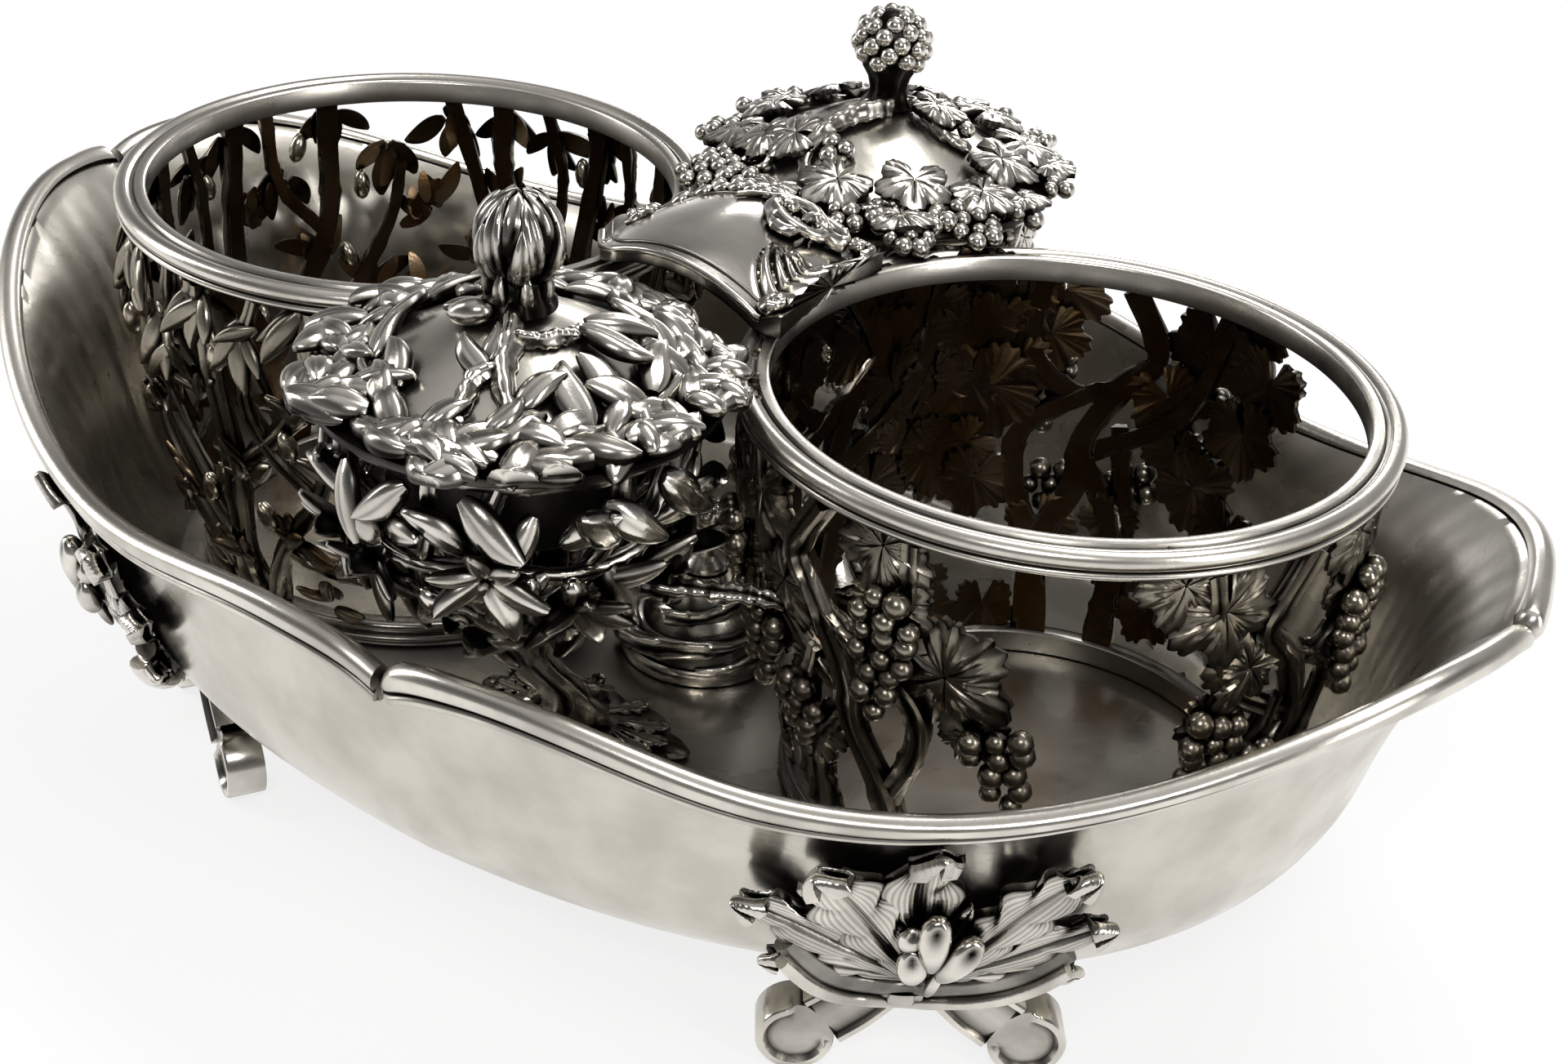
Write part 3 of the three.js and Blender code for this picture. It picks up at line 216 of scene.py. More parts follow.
# Sheet silver: rolled and planished, so broad soft reflections, hairlines and a faint satin bloom.
sheet_silver = silver("planished_sheet_silver", "#d9d4c9", 0.18, 0.3, 0.42, 1.8, 2.2, 0.12)
columns = np.arange(0, 360, 0.75)[None, :]
levels = np.concatenate([np.linspace(0, 0.3, 16), np.linspace(0.34, 1, 24)])[:, None]
outside = tray_wall(columns, levels)
# hammer marks: sines of 40 and 92 waves round the tray, at their deepest half way up the tips
hammered = np.sin(np.radians(40 * columns) + 3 * levels) + 0.6 * np.sin(np.radians(92 * columns) - 5 * levels)
hammered = hammered * np.exp(-((from_tip(columns) / 34) ** 2)) * np.sin(np.pi * levels)
inside = tray_wall(columns, levels, 1.8 + 0.26 * hammered, sheet)
# the floor: the wall's lowest rows drawn in to the middle
drawn_in = np.linspace(0.02, 0.97, 9)[:, None, None] * [1, 1, 0] + [0, 0, 1]
tray = np.concatenate([outside[:1] * drawn_in, outside, inside[::-1], (inside[:1] * drawn_in)[::-1]])
# painted dark reflections darken the inside in streaks and patches, and painted shade darkens the floor's underside
x, y, z = np.moveaxis(tray, -1, 0)
reflection_clouds = np.sin(0.14 * x + 1.3 * np.sin(0.11 * y)) + np.sin(0.17 * y + 1.7 * np.sin(0.09 * x))
reflection_streaks = np.sin(np.radians(31 * columns) + 2 * np.sin(0.1 * z)) + np.sin(np.radians(74 * columns))
plain, patches, streaks = (np.repeat(shares, [9, 40, 40, 9])[:, None] for shares in (
    [0.3, 0.03, 0.2, 0.3], [0, 0, 0.04, 0.2], [0, 0, 0.06, 0]))
make_piece("boat_tray", [skins(tray, np.maximum(0, plain + patches * reflection_clouds + streaks * reflection_streaks))], sheet_silver,
           ["tray"])

# Rim: four cast mouldings soldered over the sheet's edge, a thick round wire over a groove and a bead. Each starts
# at a notch with a swollen knuckle and ends in a straight mitre against the next one.
# Polished cast silver: burnished, so sharp bright reflections between thin black lines. Drawn silver: a long soft
# highlight with satin edges.
polished = silver("polished_cast_silver", "#e9e4da", 0.1, 0.2, 0.9, 2.6, 1.2, 0.12)
satin_wire = silver("satin_drawn_silver", "#e6e1d7", 0.19, 0.32, 0.8, 2.4, 1.2, 0.12)
wire_turn, bead_turn = np.radians(np.linspace(205, -38, 13)), np.radians(np.linspace(75, -80, 7))
# the section, out of the sheet's edge and up from it: wire, groove, bead, and the rebate that the sheet stands in
rim_section = np.concatenate([
    np.stack([0.25 + 2.15 * np.cos(wire_turn), 0.72 + 2.15 * np.sin(wire_turn)], -1),
    [[1.45, -0.95]],
    np.stack([1.6 + 0.95 * np.cos(bead_turn), -1.95 + 0.85 * np.sin(bead_turn)], -1),
    [[1.3, -3.05], [1.35, -3.35], [0.45, -3.58], [0.42, -1.5], [0.42, 0.3], [-0.8, 0.3]],
])
rim_dark = np.zeros(len(rim_section))
rim_dark[12:15] = 0.95
rim_dark[20:22] = 0.7
# degrees along a moulding; its first 7.5 swell by up to a third, and its nose rounds over in the first 1.5
step = np.concatenate([0.38 + np.linspace(0, 3, 16), np.linspace(3.9, 89.9, 87)])
swell = lerp(1.35, 1, np.clip(step / 7.5, 0, 1))[:, None]
nose = np.sqrt(1 - (1 - np.clip((step - 0.37) / 1.5, 0, 1)) ** 2)[:, None]
proud, over = rim_section[None, :, 0], rim_section[None, :, 1]
proud = np.where(proud > 0.42, 0.3 + (proud - 0.3) * swell, proud)
over = np.where(over > 0.3, 0.3 + (over - 0.3) * swell, np.where(over < 0, over * swell, over))
proud, over = lerp(0.5, proud, nose)[..., None], lerp(-0.4, over, nose)[..., None]
for name, start in zip(corners, (0, 90, 180, 270)):
    top = tray_wall(start + step, 1.0)
    rise = unit(top - tray_wall(start + step, 0.92))
    face = np.cross(rise, unit(np.cross(outward(start + step), rise)))
    grid = top[:, None] + face[:, None] * proud + rise[:, None] * over
    make_piece("rim_moulding_" + name, [skins(grid, rim_dark[None])], satin_wire, ["rim_" + name])

# Feet: each is a cast pair of splayed straps that end in round toes. A raised band runs along both edges of a strap
# and round its toe, and the sunk field between is left matt. The toes are worn flat underneath.
leg_depth, toe_reach, toe_middle = 7.0, 18.85, 6.2  # toes: from the foot's middle, and over the ground


def through(stations, steps):
    """A smooth line through stations: cubic pieces whose slope at a station is that of its two neighbours."""
    p = np.asarray(stations, float)
    slope = np.gradient(p, axis=0)
    t = np.linspace(0, len(p) - 1, steps)
    k = np.minimum(t.astype(int), len(p) - 2)
    f = (t - k)[:, None]
    return (p[k] * (2 * f**3 - 3 * f**2 + 1) + slope[k] * (f**3 - 2 * f**2 + f)
            + p[k + 1] * (3 * f**2 - 2 * f**3) + slope[k + 1] * (f**3 - f**2))


def sweep(path, out, across, proud, section):
    """A section carried along a path: its first number is a share of the width across, its second one a share of
    the height towards out."""
    path = np.asarray(path, float)
    tangent = unit(np.gradient(path, axis=0))
    side = unit(np.cross(tangent, np.broadcast_to(out, path.shape)))
    face = np.cross(side, tangent)
    width, height = (np.broadcast_to(np.asarray(v, float), len(path))[:, None, None] for v in (across, proud))
    return path[:, None] + side[:, None] * section[..., :1] * width + face[:, None] * section[..., 1:] * height


def rows_of(*columns):
    """A table out of its columns, where one number fills a column."""
    return np.stack(np.broadcast_arrays(*columns), -1)


def polar(r, turn, z=0.0):
    """Points at a radius, an angle in radians and a height: radius by cosine, radius by sine, height."""
    return rows_of(r * np.cos(turn), r * np.sin(turn), z)


def on_foot(angle, points):
    """Sets points given as distance along the wall, height and depth behind the leg's face under the floor's edge."""
    points = np.asarray(points, float)
    out = outward(angle)
    along = np.array([-out[1], out[0], 0])
    edge = tray_wall(angle, 0.0) * [1, 1, 0]
    low = np.maximum(points[..., 1:2], 0)
    return edge + along * points[..., :1] + out * (points[..., 2:] - 0.6 - leg_depth) + [0, 0, 1] * low


# sections as pairs of across and proud for a strap, and of radius and depth for a toe, with their tarnish
strap_section = np.array([[-1, 0], [-1, 0.94], [-0.94, 1], [-0.78, 1], [-0.68, 0.86], [-0.3, 0.87], [0, 0.88],
                          [0.3, 0.87], [0.68, 0.86], [0.78, 1], [0.94, 1], [1, 0.94], [1, 0]])
strap_dark = np.array([0.3, 0, 0, 0, 0.8, 0.35, 0.25, 0.35, 0.8, 0, 0, 0, 0.3])
toe = np.array([[0.3, 0], [6.4, 0], [6.4, 6.5], [6.1, 7], [5.1, 7], [4.4, 6.0], [3.4, 6.05], [1.6, 6.2], [0.2, 6.25]])
toe_dark = np.array([0.3, 0.3, 0, 0, 0, 0.8, 0.4, 0.3, 0.3])[:, None]
toe_turn = np.radians(np.arange(0, 360, 9))[None, :]
r, z = toe[:, :1], toe[:, 1:]
for name, angle in zip(corners, (46, 134, 226, 314)):
    parts = []
    for side in (-1, 1):
        line = through([[2.2, 22.0, 0], [6.4, 17.4, 0], [10.4, 13.2, 0], [14.6, 9.8, 0]], 16) * [side, 1, 1]
        strap = sweep(line, [0, 0, 1], np.linspace(5.0, 5.4, 16), leg_depth, strap_section)
        parts.append(skins(on_foot(angle, strap), strap_dark[None]))
        # the toe's band is open where the strap runs into it
        opening = smooth(0.5, 0.68, np.cos(toe_turn - np.radians(90 + 47 * side)))
        band = np.where(z > 6.3, lerp(z, 6.05, opening), z)
        toe_points = polar(r, toe_turn, band) + [toe_reach * side, toe_middle, 0]
        parts.append(skins(on_foot(angle, toe_points), lerp(toe_dark, 0.3, opening)))
    make_piece("foot_straps_" + name, parts, polished, ["foot_" + name])

# Leaf sprays: one cast acanthus spray is soldered on the wall over each foot, an upright leaf between pairs of big
# toothed leaves with rolled tips, with drops and a bead at the root, over a moulded ledge of three arcs.
# Cast and chased silver: burnished on its high places and oxidised in its chasing, with painted shade in its
# corners, so sparkles over black.
cast = silver("cast_chased_silver", "#ebe6dc", 0.11, 0.22, 1.0, 4.2, 0.6, 0.3)
ledge_half = 21


def onto_wall(angle, points):
    """Bends flat points, along the wall, up from the floor's edge and out of the surface, onto the tray's wall."""
    x, y, z = np.moveaxis(np.asarray(points, float), -1, 0)
    per_degree = np.linalg.norm(tray_wall(angle + 1, 0.3) - tray_wall(angle, 0.3))
    turn = angle + x / per_degree
    level = np.maximum(0, y) / (rim_height(turn) - floor_height)
    at = tray_wall(turn, level)
    rise = unit(tray_wall(turn, level + 0.02) - at)
    along = unit(tray_wall(turn + 0.5, level) - at)
    out = np.where((y < 0)[..., None], outward(turn), np.cross(along, rise))
    at = at + np.minimum(y, 0)[..., None] * [0, 0, 1]
    return at + out * (z + 0.55)[..., None]


def acanthus(length, width, lobes, roll, fineness):
    """A leaf along +Y, narrow at its root: its edge is cut into round lobes that lean to the tip, with a sunk valley
    up to every cut, fine veins fan out from the root, the midrib is sunk, and the last of its length rolls over."""
    s = 1 - np.linspace(1, 0, 24 + fineness // 2)[:, None] ** 1.5
    u = np.concatenate([np.linspace(-1, 1, fineness), np.linspace(1, -1, fineness)])[None, :]
    top = np.repeat([1, 0], fineness)[None, :]
    wide = 0.5 * width * lerp(0.2, 1, smooth(0, 0.6, s)) * (1 - 0.5 * smooth(0.62, 0.95, s))
    wide = wide * np.sqrt(1 - 0.92 * np.clip((s - 0.88) / 0.12, 0, 1) ** 2)
    wave = np.abs(np.sin(np.pi * (lobes * (s - 0.1 * np.abs(u) + 0.04 * np.sign(u)) + 0.15)))
    cut = 0.75 * (1 - wave**0.8) * smooth(0.12, 0.3, s) * smooth(0.97, 0.85, s)
    x = wide * (u - np.sign(u) * np.abs(u) ** 3 * cut)
    vein = np.cos((fineness // 4) * np.pi * np.abs(u) ** 0.85)
    valley = np.exp(-((wave / 0.3) ** 2)) * np.abs(u) ** 1.3 * smooth(0.15, 0.35, s) * smooth(1.0, 0.9, s)
    flat = smooth(1.0, 0.84, s)
    crown = 0.9 * np.sin(np.pi * np.abs(u)) - 0.6 * np.exp(-((u / 0.11) ** 2)) - 1.1 * valley
    z = 1.5 + 1.0 * (1 - s) + 1.8 * s**2 + crown * flat + 0.035 * vein - (1 - top) * 1.6
    y = length * (s + 0.09 * np.abs(u) ** 1.5 * s * (1 - s))
    fold = 0.92 - 0.1 * u**2
    over = np.clip((s - fold) / 0.1, 0, 1)
    bend = over * np.radians(170)
    radius = roll - (1 - top) * 0.9
    y = np.where(over > 0, length * fold + radius * np.sin(bend), y)
    z = np.where(over > 0, z + roll - radius * np.cos(bend) - (roll - radius), z)
    # darker in veins, midrib, valleys and towards the root; border and underside painted dark: painted shade
    shade = 0.06 + 0.42 * smooth(0.3, -1.0, vein) * (1 - over) + 0.4 * np.exp(-((u / 0.06) ** 2)) * flat
    shade = shade + 0.9 * valley + 0.5 * smooth(0.45, 0.0, s) + 0.5 * smooth(0.8, 1.0, np.abs(u)) * flat
    return np.stack([x, y, z], -1), np.broadcast_to(np.where(top > 0, np.minimum(shade, 1), 0.7), z.shape)


def turn_flat(points, degrees):
    """Turns points in their own plane."""
    c, s = np.cos(np.radians(degrees)), np.sin(np.radians(degrees))
    x, y, z = np.moveaxis(points, -1, 0)
    return np.stack([c * x - s * y, s * x + c * y, z], -1)


def full_turn(count):
    """Angles in equal steps once round, in radians."""
    return np.linspace(0, 2 * np.pi, count, endpoint=False)


def ball(half, rows=9, cols=14, drop=0.0):
    """An ellipsoid of three half axes, or one, about the origin; drop draws its +Y end out to a point."""
    half = np.ones(3) * half
    lat, turn = np.radians(np.linspace(-84, 84, rows))[:, None], full_turn(cols)
    thin = np.cos(lat) * (1 - drop * (np.sin(lat) + 1) / 2)
    return rows_of(half[0] * thin * np.cos(turn), half[1] * np.sin(lat), half[2] * thin * np.sin(turn))


def ledge_line(x):
    """Height of the ledge's lower edge over the floor's: a square that climbs to both ends, less three arcs."""
    return lerp(-0.1, 12.3, (x / ledge_half) ** 2) - 0.9 * np.abs(np.cos(1.5 * np.pi * x / ledge_half))


round_section = polar(1, full_turn(12))[:, :2]
# leaves: tilt, length, width, lobes, roll of the tip, lift, fineness
spray_leaves = [(-8, 20, 5, 2, 0.7, -0.9, 31), (26, 20, 5, 2, 0.7, -0.9, 31), (84, 26, 8, 3, 0.9, -0.4, 31),
                (-86, 27, 8, 3, 0.9, -0.4, 31), (13, 37, 12, 3, 1.4, 0.6, 61), (61, 35, 10, 3, 1.3, 0.2, 61),
                (-62, 31, 10, 3, 1.3, 0.2, 61), (38, 35, 13.5, 5, 1.4, 1.0, 61), (-33, 35, 13.5, 5, 1.4, 1.0, 61)]
# drops: half axes, middle along the wall, up and out, lean, how far it is drawn out
drops = [((1.7, 6.0, 1.9), (1.6, 22.0, 6.4), 8, -0.7), ((1.9, 5.0, 1.9), (-2.4, 18.6, 6.2), -22, -0.7),
         ((2.3, 3.4, 2.3), (3.6, 17.0, 6.2), 12, 0.0), ((2.0, 2.4, 1.6), (4.6, 21.8, 5.4), 0, 0.0),
         ((1.2, 4.6, 1.4), (-0.6, 13.6, 5.6), -6, 0.6)]
unit_drop = ball(1, 17, 28)
dimple = np.exp(-(np.linalg.norm(unit_drop - [0, 0.66, 0.75], axis=-1) / 0.4) ** 2)
# each drop's dimple is dark, and its lower half is painted dark: painted shade under it
drop_dark = np.maximum(dimple, 0.7 * smooth(0.0, -0.9, unit_drop[..., 1]))
# ellipse angle, and the side of the spray that lies towards the middle of the tray's long side
for name, angle, hand in zip(corners, (47.8, 132.2, 227.8, 312.2), (1, -1, 1, -1)):
    parts = []
    for tilt, length, width, lobes, roll, lift, fineness in spray_leaves:
        leaf, shade = acanthus(length, width, lobes, roll, fineness)
        parts.append(skins(onto_wall(angle, turn_flat(leaf, -tilt * hand) + [0, 8.5, lift]), shade))
    for half, spot, lean, drop in drops:
        shape = turn_flat(ball(half, 17, 28, drop), -lean * hand) + np.array(spot) * [hand, 1, 1]
        parts.append(skins(onto_wall(angle, shape - dimple[..., None] * [0, 0, 0.9]), drop_dark))
    for start, end in ((-21.2, -6.7), (-7.3, 7.3), (6.7, 21.2)):
        x = np.linspace(start, end, 20)
        line = np.stack([x, ledge_line(x) + 0.8, 4.0 + 0.02 * np.abs(x)], -1)
        parts.append(skins(onto_wall(angle, sweep(line, [0, 0.3, 1], 1.15, 1.9, round_section)), 0.05))
        parts.append(skins(onto_wall(angle, sweep(line + [0, 1.9, -1.9], [0, 0.3, 1], 2.0, 1.7, round_section)), 0.6))
    make_piece("acanthus_spray_" + name, parts, cast, ["foot_leaf_" + name])

# Bottle rings: turned and drawn mouldings soldered on the openwork walls, a round wire between thin beads round each
# bottle mouth, and a flat ring with two beads on the floor, held by a stud through the floor.
well_x = 67.4  # the bottles' axes, along X


def hoop(profile, centre, segments=200):
    """A closed profile of radius and height pairs turned round an upright axis."""
    r, z = np.asarray(profile, float).T
    return polar(r, full_turn(segments)[:, None], z) + [*centre, 0]


def arc(centre, radius, start, end, count):
    """Points of an arc between two angles in degrees."""
    return polar(radius, np.radians(np.linspace(start, end, count)))[:, :2] + centre


ring_profile = np.concatenate([
    [[48.0, 96.5], [48.0, 100.3], [48.25, 100.65], [49.1, 100.75], [49.9, 100.7], [50.3, 100.1], [50.7, 100.3]],
    arc((52.2, 99.2), 1.6, 140, -55, 12), [[52.75, 97.65]], arc((52.9, 97.05), 0.62, 80, -75, 6),
    [[52.6, 96.2], [48.4, 96.2]],
])
# the grooves beside the big bead are painted dark, a painted shade; the inner face is tarnished darker
ring_dark = np.zeros(len(ring_profile))
ring_dark[[0, 5, 6, 18, 19, 27]] = [0.6, 0.9, 0.5, 0.8, 1.0, 0.8]
base_profile = np.concatenate([[[38.2, 24.2], [38.2, 28.1], [38.6, 28.4]], arc((41.0, 27.5), 0.9, 100, -60, 7),
                               [[41.2, 26.4]], arc((41.7, 25.3), 0.75, 90, -70, 6), [[42.2, 24.2]]])
for name, x in (("vinegar", well_x), ("oil", -well_x)):
    make_piece(name + "_mouth_ring", [skins(hoop(ring_profile, (x, 0)), ring_dark[None], hoop=True)], satin_wire,
               [name + "_ring"])
    stud = sweep([[np.sign(x) * (well_x + 40), 0, z] for z in (17.1, 20, 23, 26)], [0, 1, 0], 2.0, 2.0, round_section)
    make_piece(name + "_floor_ring", [skins(hoop(base_profile, (x, 0)), 0.6, hoop=True), skins(stud, 0.3)], polished,
               [name + "_base"])

# Openwork walls: cast in sections and soldered between the rings. Ridged stems climb, part and meet again round oval
# openings, with leaves and fruit on the outside. The inner side was filed flat and has tarnished brown.
# Openwork silver: bright on its outer ridges, with brown sulphide inside where no cloth reaches.
oxidised = silver("tarnished_openwork_silver", "#c9c0af", 0.13, 0.26, 1.0, 6.5, 0.6, 0.35)
chance = np.random.default_rng(11)  # all small differences come from it, so the order of its draws counts
wall_foot, wall_head = (40, 28.7), (51, 95.9)  # radius and height of the wall's two ends


def wall_point(azimuth, share, proud=0.0):
    """A point of the cup-shaped wall about its own axis: the radius grows by one less the power 1.8 of what is left."""
    azimuth, share, proud = np.broadcast_arrays(*(np.asarray(v, float) for v in (azimuth, share, proud)))
    r = lerp(wall_foot[0], wall_head[0], 1 - (1 - np.clip(share, 0, 1)) ** 1.8) + proud
    return polar(r, np.radians(azimuth), lerp(wall_foot[1], wall_head[1], share))


def on_wall(azimuth, share, proud):
    """The same point, and the directions across, up and out of the wall; up joins two points close by."""
    turn = np.radians(np.asarray(azimuth, float))
    across = np.stack([-np.sin(turn), np.cos(turn), 0 * turn], -1)
    level = np.minimum(share, 0.95)
    up = unit(wall_point(azimuth, level + 0.03) - wall_point(azimuth, level - 0.03))
    return wall_point(azimuth, share, proud), (across, up, np.cross(across, up))


def bark(rows, ridges, twist, flat=None):
    """Sections of a ridged stem: a circle whose radius waves round it, turning along the stem, with a knot now and
    then. Flat cuts the inner side level and turns it brown."""
    s, phi = np.linspace(0, 1, rows)[:, None], full_turn(20)
    wave = np.cos(ridges * phi + twist * s + 1.2 * np.sin(9 * s))
    knot = 0.22 * np.maximum(0, np.cos(2 * np.pi * (s * 4.3 + 0.2))) ** 6
    r = 1 + 0.2 * wave + 0.08 * np.cos(2 * phi + 17 * s) + knot
    shade = 0.95 * smooth(0.25, -0.9, wave)
    section = polar(r, phi)[..., :2]
    if flat is not None:
        shade = np.where(section[..., 1] < flat, 1.85, shade)
        section[..., 1] = np.maximum(section[..., 1], flat)
    return section, shade


def place(shape, at, axes, turn=0.0, pitch=0.0, size=1.0):
    """Sets a flat shape at many spots: turned in the plane of its carrier, then tipped up out of it."""
    across, up, out = (np.atleast_2d(v) for v in axes)
    at = np.atleast_2d(at)
    turn, pitch, size = (np.broadcast_to(np.radians(v) if k < 2 else v, len(at))[:, None]
                         for k, v in enumerate((turn, pitch, size)))
    x_axis = np.cos(turn) * across + np.sin(turn) * up
    level = -np.sin(turn) * across + np.cos(turn) * up
    y_axis = np.cos(pitch) * level + np.sin(pitch) * out
    axes = np.stack([x_axis, y_axis, np.cross(x_axis, y_axis)], 1) * size[..., None]
    return at[:, None, None] + np.einsum("rck,nkd->nrcd", shape, axes)


def laid(shape, carrier, spots, proud):
    """A shape set on its carrier at rows of azimuth, share, turn, pitch and size."""
    azimuth, share, *pose = np.asarray(spots, float).T
    return place(shape, *carrier(azimuth, share, proud), *pose)


def lance_leaf(length, width, thick, curl, bow, back=0.9, rows=15, across=9):
    """A plump olive leaf along +Y: its half width is a sine drawn to a short point, its back is domed over steep
    flanks with a sunk midrib, it bows sideways like a parabola and lifts with the cube of its length. Its midrib is
    darker, and its borders are painted dark: painted shade where it meets its neighbours. Back is how dark the
    underside is, rows and across are the grid's."""
    s = np.linspace(0, 1, rows)[:, None]
    u = np.concatenate([np.linspace(-1, 1, across), [1, 0, -1]])[None, :]
    top = np.repeat([1, 0], [across, 3])[None, :]
    half = 0.5 * width * np.maximum(0.05, np.sin(np.pi * (0.06 + 0.92 * s**0.9))) ** 0.62
    midrib = np.exp(-((u / 0.1) ** 2))
    dome = thick * (0.3 + 0.7 * np.sqrt(1 - 0.999 * u**2)) - 0.12 * thick * midrib * smooth(1.0, 0.75, s)
    z = np.where(top > 0, dome * (1 + 0.2 * u), 0) * np.sin(np.pi * lerp(0.07, 0.93, s)) ** 0.6 + curl * s**3
    x = half * u + 4 * bow * length * (s - s**2) * s
    # darker midrib; the borders are painted dark, a painted shade between neighbouring leaves
    shade = 0.45 * midrib * smooth(1.0, 0.8, s) + 0.95 * smooth(0.6, 1, np.abs(u))
    return np.stack([x, length * s + 0 * u, z], -1), np.where(top > 0, shade, back)


def vine_leaf(cup, back=0.9, rugged=1.0):
    """A vine leaf of radius 1, its stalk at the origin and its middle lobe towards +Y: the reach is the greatest of
    five round lobes with scalloped edges, fine veins fan out along each lobe, and the back is flat. Cup lowers its
    border by the square of the reach, and rugged deepens scallops and veins."""
    turn = np.radians(np.linspace(-162, 162, 73))[:, None]
    s = np.concatenate([np.linspace(0.04, 1, 7), [1, 0.5, 0.04]])[None, :]
    top = np.repeat([1, 0], [7, 3])[None, :]
    off = turn[..., None] - np.radians([0, 62, -62, 126, -126])
    sizes = np.array([1.0, 0.96, 0.96, 0.82, 0.82])
    reach = (0.72 + (sizes - 0.7) * np.clip(1 - (np.abs(off) / 0.52) ** 2.2, 0, 1)).max(-1)
    reach = reach * (0.93 + 0.08 * rugged * np.abs(np.cos(11.5 * turn)))
    nearest = np.abs(off).min(-1)
    sunk = np.exp(-((nearest * (0.3 + s) / 0.035) ** 2)) * smooth(1.0, 0.7, s)
    fine = np.cos(2 * np.pi * (nearest / 0.13)) * smooth(0.03, 0.12, nearest) * smooth(0.25, 0.6, s)
    between = smooth(0.36, 0.56, nearest) * smooth(0.3, 0.8, s)
    z = 0.13 + 0.06 * np.sin(np.pi * s) - 0.05 * sunk + 0.014 * rugged * fine - 0.05 * between
    z = np.where(top > 0, z + 0.06 * s**3 * np.cos(3 * off[..., 0]), 0) - cup * s**2
    line = np.maximum(np.maximum(0.75 * sunk, 0.45 * smooth(-0.3, -1.0, fine)), 0.6 * between)
    # the very edge is painted dark, a painted shade along the leaf's outline
    shade = np.where(top > 0, np.maximum(line, 0.8 * (s > 0.99)), back)
    x, y = reach * s * np.sin(turn), reach * s * np.cos(turn)
    return np.stack([x, y, z], -1), np.broadcast_to(shade, z.shape)


def bunch(rows, berry):
    """Middles of the berries of a bunch that hangs from the origin along -Y: each row sits in the gaps of the last."""
    spots = []
    for row, count in enumerate(rows):
        x = (np.arange(count) - (count - 1) / 2) * 1.95 * berry
        swell = 0.9 * berry * np.sqrt(np.maximum(0.1, 1 - (x / (1.1 * berry * max(rows))) ** 2))
        spots.append(np.stack([x, np.full(count, -(row + 0.6) * 1.66 * berry), swell + 0.3 * (row % 2)], -1))
    return np.concatenate(spots)


def branch(carrier, stations, steps, ridges, twist, ring=0.0, spacing=3, flat=None):
    """A ridged branch on a carrier through stations of azimuth, share, proudness and radius. Rings swell it by a
    share, like a cosine every few steps."""
    line = through(stations, steps)
    path, axes = carrier(*line.T[:3])
    section, shade = bark(steps, ridges, twist, flat)
    radius = line[:, 3] * (1 + ring * np.cos(np.linspace(0, 2 * np.pi * steps / spacing, steps)))
    return sweep(path, axes[2], radius, radius, section), shade


def wall_stems(stations, turn, steps, centre):
    """Stems that stand in a wall: filed flat inside and dull all over."""
    for stem in stations:
        grid, shade = branch(on_wall, np.array(stem) + [turn, 0, 0, 0], steps, 5, 7.0, flat=-0.35)
        yield skins(grid + [centre, 0, 0], np.maximum(shade, 0.45))


def on_stand(parts, centre, turn=1):
    """Moves skins from an axis of their own to where it stands; a turn of -1 turns them half round first."""
    return [(part[0] * [turn, turn, 1] + centre, *part[1:]) for part in parts]


berry_ball = ball(1, 7, 11)
# berries in each row of the six kinds of bunch, from the stalk down
bunches = [(2, 3, 3, 3, 2, 2, 1), (3, 3, 2, 2, 1), (2, 3, 2, 1), (3, 2, 1), (4, 4, 3, 2), (2, 1)]


def grapes(carrier, spots, berry, proud, tarnish_and_shade=0.05):
    """Bunches set on a carrier at rows of azimuth, share or radius, turn and a bunch's number, in berries of about
    one radius. Each berry strays a little and differs a little in size."""
    made = []
    for azimuth, share, turn, number in spots:
        at, axes = carrier(azimuth, share, proud)
        middles = place(turn_flat(bunch(bunches[number], berry)[None], turn), at, axes)[0, 0]
        middles = middles + chance.uniform(-0.22, 0.22, middles.shape) * berry
        swell = chance.uniform(0.88, 1.12, len(middles))
        made.append(skins(place(berry_ball * berry, middles, axes, 0, 0, swell), tarnish_and_shade))
    return made


# stations of the stems: degrees from the panel's middle, share of the height, proudness, radius
vine_stems = [[[1, -0.01, 0, 2.9], [2, 0.22, 0, 2.4], [-5, 0.42, 0, 2.2], [-6, 0.56, 0, 2.2], [-12, 0.71, 0, 2.1],
               [-19, 0.82, 0, 1.9], [-12, 1.0, 0, 2.2]],
              [[2, 0.22, 0, 1.9], [9, 0.42, 0, 1.9], [8, 0.56, 0, 1.8], [-3, 0.66, 0, 1.7], [-12, 0.71, 0, 1.7]],
              [[-12, 0.71, 0, 1.6], [-2, 0.68, 0, 1.5], [7, 0.8, 0, 1.5], [7, 1.0, 0, 1.9]],
              [[-6, 0.5, 0, 1.7], [-26, 0.68, 0, 1.6], [-33, 1.0, 0, 1.8]],
              [[-18, -0.01, 0, 2.6], [-16, 0.28, 0, 2.2], [-6, 0.5, 0, 1.7]],
              [[-21, 0.1, 0.6, 1.8], [-18, 0.3, 0.8, 1.9], [-13, 0.6, 0.6, 1.5]]]
